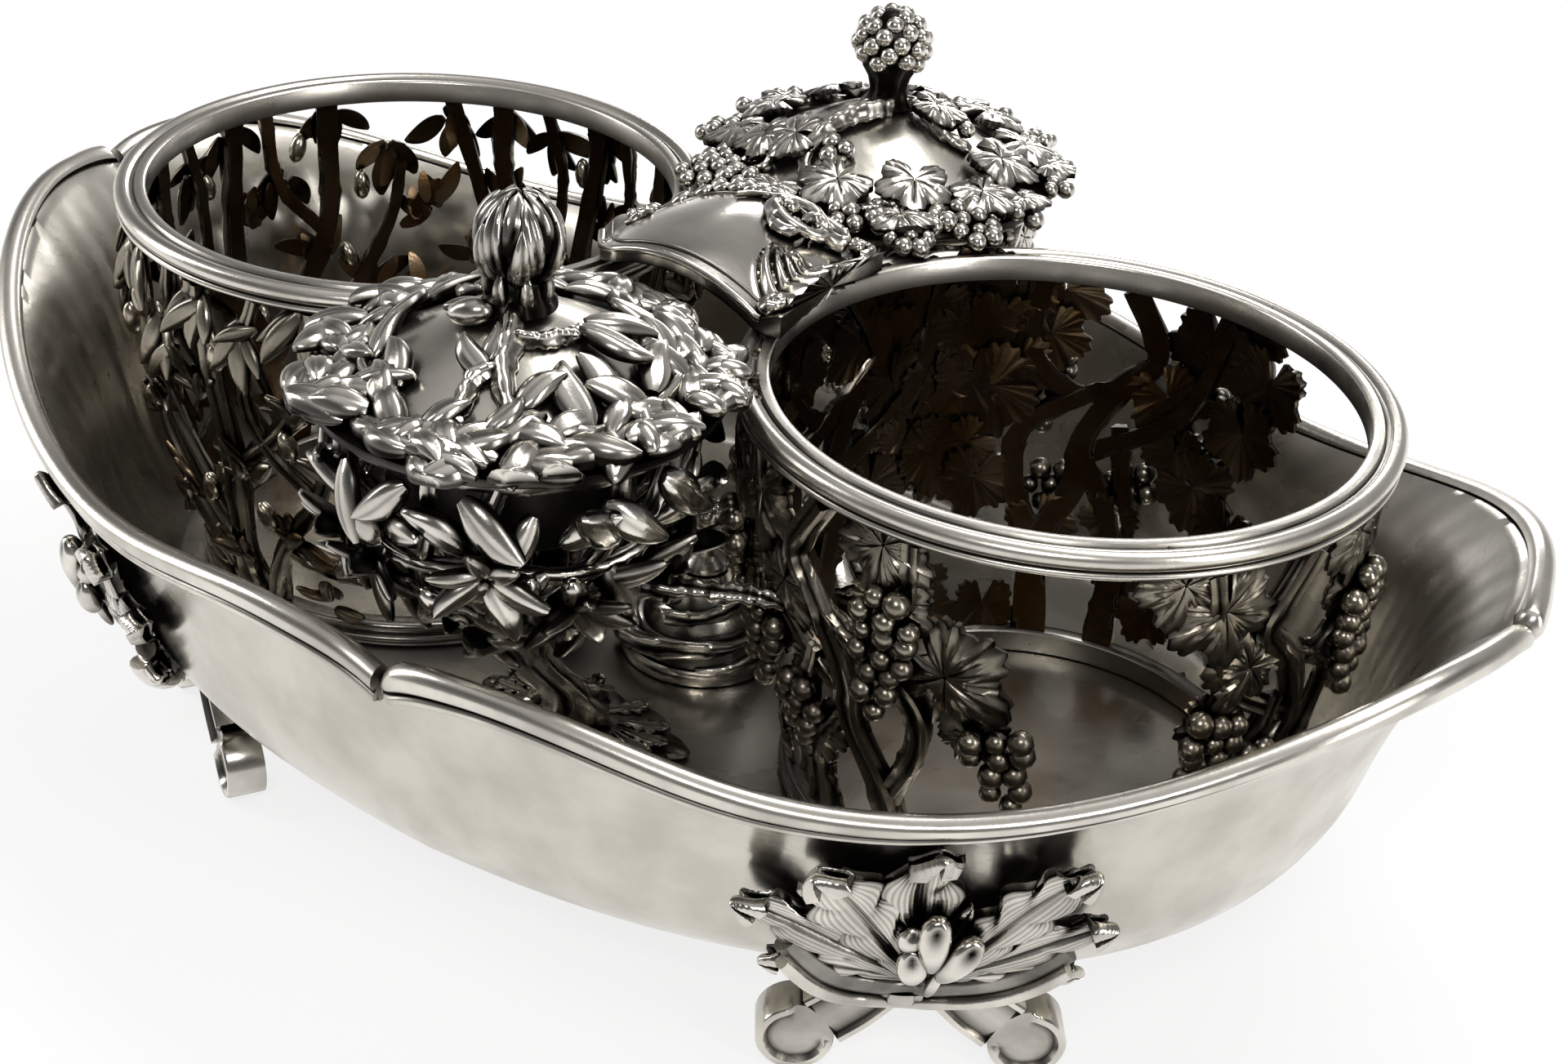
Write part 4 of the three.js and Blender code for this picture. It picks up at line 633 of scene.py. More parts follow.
# leaves: degrees, share, turn, pitch, radius; the first ten stand on every panel, the rest where the wall is dense
vine_leaves = np.array(
    [[2, 0.97, 176, 6, 8.8], [15, 0.68, 246, 10, 10.5], [-30, 0.9, 190, 6, 9.4], [-22, 0.72, 150, 8, 8.4],
     [-38, 0.98, 165, 6, 7.4], [-15, 0.34, 200, 8, 6.4], [20, 0.52, 235, 10, 6.4], [-19, 0.2, 170, 6, 5.4],
     [4, 0.84, 170, 2, 7.6], [-26, 0.58, 180, 2, 6.6], [12, 0.97, 190, 5, 9.6], [26, 0.98, 170, 5, 10],
     [40, 0.97, 195, 5, 9.4], [20, 0.84, 150, 5, 9.6], [34, 0.83, 200, 5, 9.6], [46, 0.86, 170, 5, 9.0],
     [-44, 0.86, 190, 5, 9.0], [10, 0.74, 170, 5, 8.0], [28, 0.7, 160, 5, 8.0], [-40, 0.7, 170, 5, 8.6],
     [-32, 0.5, 120, 5, 8.6], [-42, 0.42, 190, 5, 8.0], [36, 0.52, 190, 5, 8.6], [44, 0.44, 170, 5, 8.0],
     [2, 0.3, 160, 6, 7.4], [-28, 0.12, 130, 6, 6.6], [14, 0.06, 180, 5, 6.6], [30, 0.05, 160, 5, 6.6],
     [44, 0.08, 190, 5, 6.6]])
vine_grapes = [(5, 0.88, -4, 0), (24, 0.58, 14, 1), (-27, 0.62, -8, 1), (-17, 0.5, 6, 2)]
more_grapes = [(20, 0.76, 6, 1), (38, 0.7, -6, 2), (0, 0.46, 0, 2), (-36, 0.78, 0, 1)]
parts = []
for turn, dense in ((-96, False), (-6, False), (114, True), (174, True)):
    parts += wall_stems(vine_stems, turn, 34, well_x)
    spots = (vine_leaves if dense else vine_leaves[:10]) + [turn, 0, 0, 0, 0]
    leaf, shade = vine_leaf(0.1, 1.8, 1.9)
    parts.append(skins(laid(leaf, on_wall, spots, 0.1) + [well_x, 0, 0], np.maximum(shade, 0.5)))
    hung = grapes(on_wall, [(a + turn, *rest) for a, *rest in vine_grapes + more_grapes * dense], 2.0, 1.4, 0.42)
    parts += on_stand(hung, [well_x, 0, 0])
make_piece("vine_openwork_wall", parts, oxidised, ["vine_panel_%d" % k for k in (1, 2, 3, 4)])

olive_stems = [[[0, -0.01, 0, 2.7], [-2, 0.15, 0, 2.3], [3, 0.5, 0, 2.1], [0, 0.9, 0, 1.9], [0, 1.0, 0, 2.3]],
               [[-1, 0.22, 0, 1.9], [-22, 0.6, 0, 1.8], [-24, 1.0, 0, 2.0]],
               [[2, 0.42, 0, 1.8], [23, 0.72, 0, 1.8], [25, 1.0, 0, 2.0]],
               [[5, -0.01, 0, 2.0], [12, 0.2, 0.6, 1.6], [24, 0.42, 0.8, 1.5], [30, 0.7, 0.3, 1.3], [37, 1.0, 0, 1.5]],
               [[-5, -0.01, 0, 2.0], [-14, 0.18, 0.6, 1.6], [-28, 0.4, 0.8, 1.4], [-38, 0.62, 0.3, 1.2],
                [-41, 0.8, 0, 1.0]],
               [[-22, 0.6, 0, 1.3], [-12, 0.76, 0.5, 1.2], [-9, 1.0, 0, 1.4]],
               [[24, 0.42, 0.5, 1.2], [12, 0.6, 0.8, 1.2], [10, 0.8, 0.5, 1.1], [14, 1.0, 0, 1.2]],
               [[-45, 0.17, 0.4, 1.3], [-28, 0.2, 0.8, 1.4], [-12, 0.15, 0.8, 1.3]],
               [[12, 0.22, 0.6, 1.3], [30, 0.16, 0.8, 1.4], [45, 0.19, 0.4, 1.2]]]
# sprigs: degrees, share, number of leaves, spread, heading: they hang below the ring and climb lower down
sprigs = [(-24, 0.97, 6, 46, 180), (0, 0.96, 5, 50, 180), (25, 0.97, 6, 46, 180), (-38, 0.86, 5, 46, 180),
          (12, 0.9, 4, 50, 170), (-12, 0.8, 4, 50, 190), (38, 0.95, 5, 40, 185), (-4, 0.66, 5, 64, 0),
          (22, 0.66, 5, 64, 20), (-20, 0.52, 5, 64, -10), (30, 0.5, 5, 64, -20), (6, 0.44, 5, 60, 15),
          (-34, 0.42, 5, 64, 10), (-18, 0.26, 5, 64, 20), (16, 0.26, 5, 64, -20), (34, 0.22, 5, 60, 10),
          (-2, 0.12, 5, 60, 0), (-32, 0.1, 5, 60, 0), (24, 0.04, 4, 60, 0), (-14, 0.02, 4, 60, 0),
          (42, 0.66, 5, 60, -10), (42, 0.36, 5, 60, -10), (-43, 0.6, 4, 60, 10)]
# olives: degrees, share, turn
olives = [[-18, 0.86, 20], [6, 0.82, -10], [20, 0.6, 15], [-28, 0.5, -20], [32, 0.56, 10], [-4, 0.36, 0],
          [-32, 0.72, 0], [12, 0.34, 20]]
parts = []
for base in (84, 174, 264, 354):
    parts += wall_stems(olive_stems, base, 30, -well_x)
    rows = []
    for azimuth, share, count, spread, heading in sprigs:
        turns = np.linspace(-spread, spread, count) + heading + chance.uniform(-10, 10, count)
        rows.append(rows_of(azimuth + base + chance.uniform(-3, 3, count), share + chance.uniform(-0.03, 0.03, count),
                            turns, chance.uniform(4, 20, count),
                            chance.uniform(0.7, 1.05, count) * (0.95 if share > 0.75 else 0.8)))
    spots = np.concatenate(rows)
    for bow, half in ((0.07, spots[::2]), (-0.07, spots[1::2])):
        leaf, shade = lance_leaf(11.5, 4.5, 2.1, 0.6, bow, 1.85, 11, 7)
        least = np.where(half[:, 1] < 0.42, 1.7, 0.4)[:, None, None]
        parts.append(skins(laid(leaf, on_wall, half, 0.5) + [-well_x, 0, 0], np.maximum(shade, least)))
    grids = laid(ball((1.9, 3.2, 1.9), 7, 10, 0.15), on_wall, np.array(olives) + [base, 0, 0], 2.6)
    parts.append(skins(grids + [-well_x, 0, 0], 0.05))
make_piece("olive_openwork_wall", parts, oxidised, ["olive_panel_%d" % k for k in (1, 2, 3, 4)])

# Bridge: a broad cast cartouche saddled over both rings, with its field left bare and burnished. Long beads follow
# its far edge, a C-scroll closes them, and five flutes fan out to a shell lip over the vinegar ring.
bridge_half, bridge_narrow, bridge_wide = 21.5, 5.0, 17.0  # half length along X, half widths
bridge_ends, bridge_crown = 104.9, 110.7  # heights of its middle line
bridge_fall = 1.6  # how much lower its two edges lie


def bridge_top(x):
    """Height of the plate's middle line: a cosine to the power 0.8 between the two ring tops and the crown."""
    return lerp(bridge_ends, bridge_crown, np.maximum(np.cos(np.pi / 2 * np.minimum(1, np.abs(x) / 18)), 0) ** 0.8)


def bridge_edge(x):
    """Half width: a sine from the narrow olive end to the full width over the first 12.9 mm, and level from there."""
    return lerp(bridge_narrow, bridge_wide, np.sin(np.pi / 2 * np.clip((x + bridge_half) / 12.9, 0, 1)))


def on_bridge(x, y, lift=0.0):
    """A point over the plate, which falls to both edges with the square of the share of its half width."""
    x, y = np.broadcast_arrays(np.asarray(x, float), np.asarray(y, float))
    return np.stack([x, y, bridge_top(x) - bridge_fall * (y / bridge_edge(x)) ** 2 + lift], -1)


x = np.concatenate([np.linspace(-bridge_half, 0, 24), np.linspace(0.4, bridge_half, 60)])[:, None]
u = np.concatenate([np.linspace(1, -1, 101), np.linspace(-1, 1, 101)])[None, :]
top = np.repeat([1, 0], 101)[None, :]
y = bridge_edge(x) * u
# five flutes fan out from a hinge on the field to the lip and bend by 2.2 degrees a millimetre as they go
hinge_x, hinge_y = 11, 3
far = np.hypot(x - hinge_x, y - hinge_y)
fan = np.degrees(np.arctan2(y - hinge_y, x - hinge_x)) - 2.2 * far
flute = np.abs(np.sin(np.pi * (fan + 105) / 15.4)) ** 0.75
depth = 2.6 * smooth(-111, -103, fan) * smooth(-16, -30, fan) * smooth(1.5, 7, far)
lip = smooth(17.0, bridge_half, x)
z = bridge_top(x) - bridge_fall * u**2 + depth * (flute - 0.4) * top - (1 - top) * 2.0
z = z + 1.5 * lip * (0.3 + flute) * top
shade = np.where(top > 0, 0.9 * smooth(0.5, 0.08, flute) * smooth(0.2, 1.2, depth), 0.9)
parts = [skins(np.stack([x + (1.9 * flute - 0.2) * lip, y, z], -1), shade)]
for end, side, rod in ((19.0, -1, 0.75), (8.0, 1, 1.1)):
    x = np.linspace(-21, end, 40)
    for inset, wide, high, tarnish_and_shade in ((0.6, rod, rod, 0.05), (3.4, 0.35, 0.3, 0.6)):
        path = on_bridge(x, side * (bridge_edge(x) - inset), 0.1)
        parts.append(skins(sweep(path, [0, 0, 1], wide, high, round_section), tarnish_and_shade))
for x in np.linspace(-18.6, 2.6, 8):
    heading, slope = (np.arctan2(line(x + 0.5) - line(x - 0.5), 1) for line in (bridge_edge, bridge_top))
    along, across = [np.cos(heading), np.sin(heading), slope], [-np.sin(heading), np.cos(heading), 0]
    shape = ball((1.75, 1.25, 1.2))
    shape = shape[..., :1] * along + shape[..., 1:2] * across + shape[..., 2:] * [0, 0, 1]
    parts.append(skins(shape + on_bridge(x, bridge_edge(x) - 2.1, 0.7), 0.05))
# scrolls: middle, first radius, start and end angle, stretch along, rod, lift
bridge_scrolls = [((8.6, 9.3), 5.5, 150, -230, 1.3, 1.5, 0.9), ((14.6, 11.6), 3.4, 210, -120, 1.2, 1.2, 1.2),
                  ((10.0, 5.6), 3.0, 120, 420, 1.2, 0.9, 1.1), ((20.0, -14.2), 2.2, 30, 400, 0.9, 1.1, 1.4),
                  ((19.6, 14.4), 2.6, -60, 270, 0.9, 1.0, 1.3), ((-17.5, 0), 2.6, -90, 200, 0.9, 0.8, 0.4)]
for (middle_x, middle_y), radius, start, end, stretch, rod, lift in bridge_scrolls:
    t = np.linspace(0, 1, 44)
    turn, r = np.radians(lerp(start, end, t)), radius * (1 - 0.66 * t**1.4)
    path = on_bridge(middle_x + stretch * r * np.cos(turn), middle_y + r * np.sin(turn), lift + 0.8 * t)
    section, dark = bark(44, 2, 5.0)
    parts.append(skins(sweep(path, [0, 0, 1], rod * lerp(0.75, 1.05, t), rod * lerp(0.8, 1.2, t), section), 0.4 * dark))
    parts.append(skins(ball(rod) * 1.2 + path[-1], 0.05))
for k in range(5):
    t = np.linspace(0, 1, 24)
    turn = np.radians(lerp(60 + 22 * k, -10 + 20 * k, t))
    path = on_bridge(6.5 + (7.5 + 1.4 * k) * np.cos(turn) * 0.9, 4.0 + (8.5 + 1.2 * k) * np.sin(turn) * 0.9, 0.7)
    parts.append(skins(sweep(path, [0, 0, 1], 0.5 * np.sin(np.pi * lerp(0.1, 0.9, t)), 0.6, round_section), 0.2))
make_piece("cartouche_bridge", parts, polished, ["bridge"])

# Boss: a cast and chased rocaille mound of stepped mouldings and C-scrolls. It stands on the floor, held down by a
# turned screw whose head is a ball set with beads.
boss_foot, boss_height = 24.2, 17


def lathe(profile, centre=(0, 0), segments=96):
    """A solid of revolution: a profile of radius and height pairs from the axis round to the axis again."""
    return hoop(profile, centre, segments).swapaxes(0, 1)


def scroll_line(radius, start, end, low, high, steps=40):
    """A C-scroll round the mound: its radius shrinks with the cube of its length and its height is a sine."""
    s = np.linspace(0, 1, steps)
    height = boss_foot + boss_height * lerp(low, high, np.sin(0.8 * np.pi * s))
    return polar(radius * (1 - 0.35 * s**3), np.radians(lerp(start, end, s)), height)


mound = [[0.3, 24.2], [15.2, 24.2], [15.3, 26.0], [14.6, 27.0], [13.6, 26.8], [12.9, 27.6], [12.6, 29.5],
         [11.8, 31.2], [11.0, 31.0], [10.4, 31.8], [9.9, 34.0], [8.4, 35.2], [7.6, 35.0], [6.6, 36.4], [5.4, 39.0],
         [4.8, 41.0], [0.3, 41.2]]
mound_dark = np.array([0.5, 0.5, 0, 0, 0.9, 0.7, 0.2, 0, 0.9, 0.7, 0.2, 0, 0.9, 0.5, 0.2, 0.1, 0.3])
parts = [skins(lathe(mound), mound_dark[:, None])]
# scrolls: radius, start and end angle, shares of the height, thickness
boss_scrolls = [(14.6, -150, 0, 0.16, 0.42, 2.0), (14.6, 40, 190, 0.16, 0.46, 2.0), (9.2, 60, 250, 0.6, 0.8, 1.7),
                (9.0, -100, 60, 0.56, 0.72, 1.4), (13.6, -60, 70, 0.1, 0.2, 1.4), (13.2, 150, 260, 0.1, 0.3, 1.4)]
for *course, thick in boss_scrolls:
    line = scroll_line(*course)
    section, shade = bark(40, 3, 3.0)
    taper = thick * np.linspace(1.0, 0.75, 40)
    parts.append(skins(sweep(line, unit(line * [1, 1, 0] + [0, 0, 14]), taper, taper, section), shade))
    parts.append(skins(ball(thick) * 1.15 + line[-1], 0.1))
make_piece("rocaille_boss", parts, cast, ["boss"])
screw = [[0.2, 17.1], [2, 17.1], [2, 41.5], [4.5, 41.5], [4.6, 42.6], [3.6, 43.4], [2.4, 44.2], [2.2, 46.5],
         [3.0, 48.4], [2.2, 49.0], [0.2, 49.4]]
parts = [skins(lathe(screw, segments=40), 0.2), skins(ball(3.7, 11, 18) + [0, 0, 51.4], 0.2)]
turn = np.radians(np.arange(0, 360, 60))
for height, reach, size in ((50.0, 3.1, 1.7), (53.4, 2.3, 1.5)):
    parts.append(skins(polar(reach, turn + height, height)[:, None, None] + ball(size, 7, 12), 0.05))
make_piece("beaded_screw", parts, cast, ["boss_screw"])

# Stopper holders: each is a cast basket of ringed branches and overlapping leaves under a scalloped seat, soldered to
# a ridged trunk whose roots spread over a plate of leaves.
holder_y, root_y = 56.0, 21  # the holders' axes, along Y; the trunk's foot from them towards the boss
bowl_line = through([[58.2, 5.4], [64.0, 11.5], [72.7, 18.0], [80.0, 23.0], [88.8, 26.9], [99.8, 28.6]], 60)


def on_bowl(azimuth, share, proud):
    """A point of the basket's bowl, share 0 at the hub and 1 under the seat, and its directions across, up, out."""
    azimuth, share = np.broadcast_arrays(np.asarray(azimuth, float), np.asarray(share, float))
    t = np.linspace(0, 1, 60)
    (z, r), (low_z, low_r), (high_z, high_r) = (
        [np.interp(level, t, column) for column in bowl_line.T]
        for level in (share, np.maximum(share - 0.03, 0), np.minimum(share + 0.03, 1)))
    turn = np.radians(azimuth)
    radial = polar(1, turn)
    across = np.stack([-np.sin(turn), np.cos(turn), 0 * turn], -1)
    up = unit(radial * (high_r - low_r)[..., None] + (high_z - low_z)[..., None] * [0, 0, 1])
    out = np.cross(across, up)
    at = radial * r[..., None] + z[..., None] * [0, 0, 1]
    return at + out * np.asarray(proud, float)[..., None], (across, up, out)


# the seat's and the hub's profile, and the stations of a bay's four branches
seat_profile = np.array([[26.6, 98.7], [30.0, 98.7], [30.6, 99.6], [30.9, 101.0], [26.6, 101.0]])
hub = [[0.3, 56.0], [6.2, 56.0], [7.6, 57.4], [8.8, 59.2], [8.6, 60.4], [5.0, 62.0], [0.3, 62.4]]
bay_branches = [[[-10, 0.0, 0, 1.8], [6, 0.3, 0, 1.6], [-8, 0.7, 0, 1.5], [2, 1.0, 0, 1.6]],
                [[6, 0.3, 0, 1.4], [24, 0.5, 0.4, 1.3], [38, 0.8, 0.3, 1.2], [40, 1.0, 0, 1.3]],
                [[-4, 0.36, 1.2, 1.3], [26, 0.42, 1.6, 1.4], [60, 0.35, 1.2, 1.3]],
                [[-8, 0.74, 0.8, 1.1], [24, 0.66, 1.4, 1.2], [56, 0.72, 0.8, 1.1]]]
# rows of olive leaves: share, how many, turn to either side, proudness; sprays: azimuth, share; olives: also turn
olive_rows = [(0.93, 17, 128, 1.0), (0.8, 16, 48, 1.0), (0.68, 15, 140, 1.4), (0.56, 13, 40, 1.2),
              (0.44, 12, 130, 1.6), (0.3, 10, 35, 1.0), (0.16, 8, 140, 0.8), (0.06, 8, 20, 0.4)]
olive_sprays = [(-30, 0.5), (-62, 0.72), (20, 0.55), (-110, 0.6), (75, 0.5), (130, 0.62), (190, 0.5), (235, 0.66)]
basket_olives = [(20, 0.62, 20), (80, 0.8, 0), (140, 0.5, -20), (200, 0.66, 10), (260, 0.8, 0), (-34, 0.62, 20),
                 (275, 0.5, 30), (310, 0.66, -10), (340, 0.4, 0), (-64, 0.6, 0)]
# rows of vine leaves: share, how many, turn; grapes: azimuth, share
vine_rows = [(0.92, 10, 185), (0.7, 9, 170), (0.46, 7, 185), (0.24, 5, 175), (0.08, 4, 10)]
basket_grapes = [(0, 0.88), (44, 0.84), (90, 0.9), (132, 0.84), (180, 0.88), (226, 0.84), (270, 0.9), (315, 0.86),
                 (30, 0.55), (110, 0.56), (190, 0.55), (280, 0.55)]
for name, plant, y, turned in (("oil", "olive", -holder_y, 1), ("vinegar", "vine", holder_y, -1)):
    seat_turn = np.radians(np.arange(0, 360, 2))[:, None]
    scallop = 0.35 * np.cos(14 * seat_turn)
    r = seat_profile[:, 0] + np.where(seat_profile[:, 0] > 29, 1.0, 0.0) * (scallop - 0.3)
    parts = [skins(polar(r, seat_turn, seat_profile[:, 1]), 0.3, hoop=True), skins(lathe(hub, segments=40), 0.4)]
    for bay in range(0, 360, 60):
        parts += [skins(*branch(on_bowl, np.array(stations) + [bay, 0, 0, 0], 26, 4, 5.0, 0.1))
                  for stations in bay_branches]
    rows = []
    if plant == "olive":
        for share, count, tip, lift in olive_rows:
            a = np.arange(count) * 360 / count + chance.uniform(-7, 7, count)
            side = np.where(np.arange(count) % 2, 1, -1)
            rows.append(rows_of(a, share + chance.uniform(-0.03, 0.03, count),
                                side * (tip + chance.uniform(-22, 22, count)), chance.uniform(0, 14, count),
                                chance.uniform(0.8, 1.12, count), lift))
        for azimuth, share in olive_sprays:
            rows.append(rows_of(azimuth, share, np.linspace(-150, 120, 6), chance.uniform(14, 32, 6),
                                chance.uniform(0.75, 0.95, 6), 2.6))
        spots = np.concatenate(rows)
        for bow, half in ((0.08, spots[::2]), (-0.08, spots[1::2])):
            leaf, shade = lance_leaf(12.0, 5.6, 2.6, 0.6, bow)
            parts.append(skins(laid(leaf, on_bowl, half[:, :5], half[:, 5]), shade))
        parts.append(skins(laid(ball((2.3, 3.4, 2.3), 8, 12, 0.1), on_bowl, basket_olives, 3.4), 0.05))
    else:
        for share, count, tip in vine_rows:
            a = np.arange(count) * 360 / count + chance.uniform(-8, 8, count) + 25 * (share < 0.8)
            rows.append(rows_of(a, share, tip + chance.uniform(-30, 30, count), chance.uniform(8, 24, count),
                                chance.uniform(6.4, 8.4, count)))
        leaf, shade = vine_leaf(0.18)
        parts.append(skins(laid(leaf, on_bowl, np.concatenate(rows), 1.0), shade))
        parts += grapes(on_bowl, [(*spot, 0, 1) for spot in basket_grapes], 1.75, 1.6)
    make_piece(plant + "_basket", on_stand(parts, [0, y, 0], turned), cast, [name + "_holder"])

    # Trunk: cast with deep bark furrows that twist up it and part into roots.
    s, phi = np.linspace(0, 1, 44)[:, None], full_turn(44)
    at = lerp(np.array([-6, root_y, 27.0]), np.array([0, 0, 55.8]), s) + 1.6 * np.sin(2 * np.pi * s) * [1, 0, 0]
    flare = 1 + 1.7 * (1 - s) ** 5 + 0.6 * s**4
    wave = np.cos(5 * phi + 2.6 * s) + 0.45 * np.cos(11 * phi - 4 * s + 1.3 * np.sin(14 * s))
    trunk = polar(3.25 * flare * (1 + 0.15 * wave), phi) + at[:, None]
    parts = on_stand([skins(trunk, 0.95 * smooth(0.1, -1.0, wave))], [0, y, 0], turned)
    make_piece(plant + "_trunk", parts, cast, [name + "_trunk"])

    # Ground: a thin cast plate with a ring of veined leaves on it, under the trunk's roots.
    lobe = np.radians(np.arange(0, 360, 3))[None, :]
    edge = 0.86 + 0.14 * np.abs(np.sin(4.5 * lobe))
    ring = np.array([[0.02, 24.2], [0.97, 24.2], [1.0, 24.8], [0.96, 25.6], [0.6, 26.1], [0.02, 26.4]])
    plate = np.stack([-2 + 22 * edge * ring[:, :1] * np.cos(lobe), root_y + 11 * edge * ring[:, :1] * np.sin(lobe),
                      ring[:, 1:] + 0 * lobe], -1)
    leaf, shade = acanthus(11, 6, 4, 0.7, 15)
    a = np.radians(np.arange(0, 360, 30) + 8.0)
    spots = np.stack([-3 + 9.5 * np.cos(a), root_y + 3.0 * np.sin(a), np.full(len(a), 25.4)], -1)
    heading = np.degrees(np.arctan2(np.sin(a) * 0.55, np.cos(a))) - 90
    leaves = place(leaf * [1, 1, 0.42], spots, np.eye(3), heading, 0, 0.85)
    parts = on_stand([skins(plate, 0.7), skins(leaves, shade)], [0, y, 0], turned)
    make_piece(plant + "_ground", parts, oxidised, [name + "_ground"])

# Links: short cast twigs with rings like those of the baskets' branches, soldered between the baskets and the stems
# of the walls, level with the crotches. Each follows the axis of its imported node.
for link_name in [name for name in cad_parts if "_link_" in name]:
    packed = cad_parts[link_name]
    spots = np.empty(3 * len(packed.data.vertices))
    packed.data.vertices.foreach_get("co", spots)
    matrix = np.array(packed.matrix_world)
    spots = 1000 * (spots.reshape(-1, 3) @ matrix[:3, :3].T + matrix[:3, 3])
    # its axis is the direction in which its points spread most
    reach = (spots - spots.mean(0)) @ np.linalg.svd(spots - spots.mean(0), full_matrices=False)[2][0]
    start, end = (spots[np.abs(reach - tip) < 1.5].mean(0) for tip in (reach.min(), reach.max()))
    line = through([start, (start + end) / 2 + [0, 0, 0.9], end], 40)
    section, shade = bark(40, 3, 8.0)
    rings = 1.5 * (1 + 0.16 * np.cos(np.linspace(0, 2 * np.pi * 10, 40)))
    parts = [skins(sweep(line, [0, 0, 1], rings, rings, section), shade)]
    make_piece("twig_" + link_name, parts, cast, [link_name])

# Stoppers: raised sheet domes with a sleeve that slips over the bottle's neck, a cast wreath soldered round the rim
# and a cast knob, a bud for oil and a bunch of grapes for vinegar. They lift out of their holders.
cap_radius, cap_edge, cap_rise = 33.0, 102.9, 11.8
leaf_reach = 36.3  # no leaf stands out further, or it would touch a bottle ring


def dome_height(r):
    """Height of the dome: a bell of one plus a cosine to the power 0.9."""
    return cap_edge + cap_rise * np.maximum(0, 0.5 + 0.5 * np.cos(np.pi * r / cap_radius)) ** 0.9


def on_dome(azimuth, radius, proud):
    """A point on the dome and its directions across, down the slope and out of the surface."""
    azimuth, radius = np.broadcast_arrays(np.asarray(azimuth, float), np.asarray(radius, float))
    near = np.minimum(radius, 32)
    slope = np.arctan2(dome_height(near + 0.5) - dome_height(near - 0.5), 1)
    turn = np.radians(azimuth)
    radial = polar(1, turn)
    down = radial * np.cos(slope)[..., None] + np.sin(slope)[..., None] * [0, 0, 1]
    across = np.stack([np.sin(turn), -np.cos(turn), 0 * turn], -1)
    out = np.cross(across, down)
    at = radial * radius[..., None] + dome_height(radius)[..., None] * [0, 0, 1]
    return at + out * (np.asarray(proud, float) + 0.3)[..., None], (across, down, out)


def dome_at(x, y, proud):
    """The same for a point given over the plane of the rim."""
    return on_dome(np.degrees(np.arctan2(y, x)), np.hypot(x, y), proud)


def dome_leaves(shape, spots, lift=0.0):
    """Leaves laid on the dome: rows of x, y, heading, pitch, size and proudness, drawn in where they reach too far."""
    leaf, shade = shape
    x, y, heading, pitch, size, proud = np.asarray(spots, float).T
    grids = place(leaf, *dome_at(x, y, proud + lift), heading - np.degrees(np.arctan2(y, x)), pitch, size)
    reach = np.linalg.norm(grids[..., :2], axis=-1, keepdims=True)
    grids[..., :2] *= np.minimum(1, leaf_reach / reach)
    return skins(grids, shade)


# leaves laid on the two lids: x, y from the knob, heading, pitch, size and proudness; branches: stations of
# x, y, proudness and radius; olives as the leaves
olive_front = [[10, 1, 20, 4, 1.15, 1.2], [9, 4, 50, 2, 1.15, 0.4], [-1, -4, 200, 2, 0.8, 0.2],
               [6, -15, 150, 5, 0.85, 0.6], [4, -13, 110, 4, 0.7, 0.3], [12, -17, 75, 6, 0.95, 0.6],
               [12, -20, 250, 2, 0.9, 0.8], [7, -22, 230, 2, 0.9, 0.8], [17, -19, 290, 2, 1.0, 0.8],
               [22, -12, 150, 4, 1.2, 0.6], [23, -6, 165, 4, 1.1, 0.6], [23, 2, 120, 4, 1.1, 0.6],
               [20, 12, 160, 4, 1.0, 0.6], [14, 19, 200, 4, 1.0, 0.6], [4, 22, 150, 4, 1.1, 0.6],
               [-6, 22, 200, 4, 1.0, 0.6], [-15, 16, 170, 4, 1.0, 0.6], [-22, 4, 60, 4, 1.0, 0.6],
               [-21, -7, 80, 4, 1.0, 0.6], [-15, -16, 95, 4, 1.0, 0.6], [-6, -21, 130, 4, 1.0, 0.6],
               [25, -22, 300, 6, 1.3, 1.6], [21, -25, 290, 4, 1.3, 1.0], [-12, -25, 200, 4, 1.2, 1.2],
               [-10, -28, 190, 4, 1.2, 1.0]]
olive_twigs = [[[0.5, -3, 0.6, 1.9], [4.5, -8, 0.8, 1.9], [7, -13, 0.8, 1.7], [12, -17, 0.8, 1.6],
                [18, -17, 0.8, 1.4], [23, -12, 0.8, 1.3]],
               [[6, -12, 0.8, 1.4], [4, -16, 0.8, 1.4], [5, -21, 0.8, 1.5], [3, -25, 0.8, 1.6], [-3, -28, 0.8, 1.6]],
               [[4, -8, 0.8, 1.4], [8, -5, 0.9, 1.3], [10, -1, 0.9, 1.2], [11, 3, 0.9, 1.0]],
               [[23, -12, 0.6, 1.2], [25, -2, 0.6, 1.2], [23, 9, 0.6, 1.2], [17, 18, 0.6, 1.2], [6, 24, 0.6, 1.2]],
               [[-5, -23, 0.6, 1.3], [-15, -18, 0.6, 1.3], [-22, -9, 0.6, 1.2], [-24, 3, 0.6, 1.2],
                [-18, 16, 0.6, 1.2], [-8, 23, 0.6, 1.2]]]
lid_olives = [[-3.5, -6.5, 200, 0, 1.1, 1.6], [27, 18, 40, 0, 1, 1.8], [30, 6, 20, 0, 1, 2], [31, 12, 0, 0, 1, 1.8],
              [-16, -25, 240, 0, 1, 2], [29, -8, -30, 0, 1, 2], [27, -14, -50, 0, 1.05, 2], [31, -2, 10, 0, 1, 1.8],
              [2, -28, 250, 0, 0.9, 1.8], [-29, 4, 150, 0, 1, 1.8], [-20, 22, 120, 0, 1, 1.8],
              [10, 28, 80, 0, 1, 1.8]]
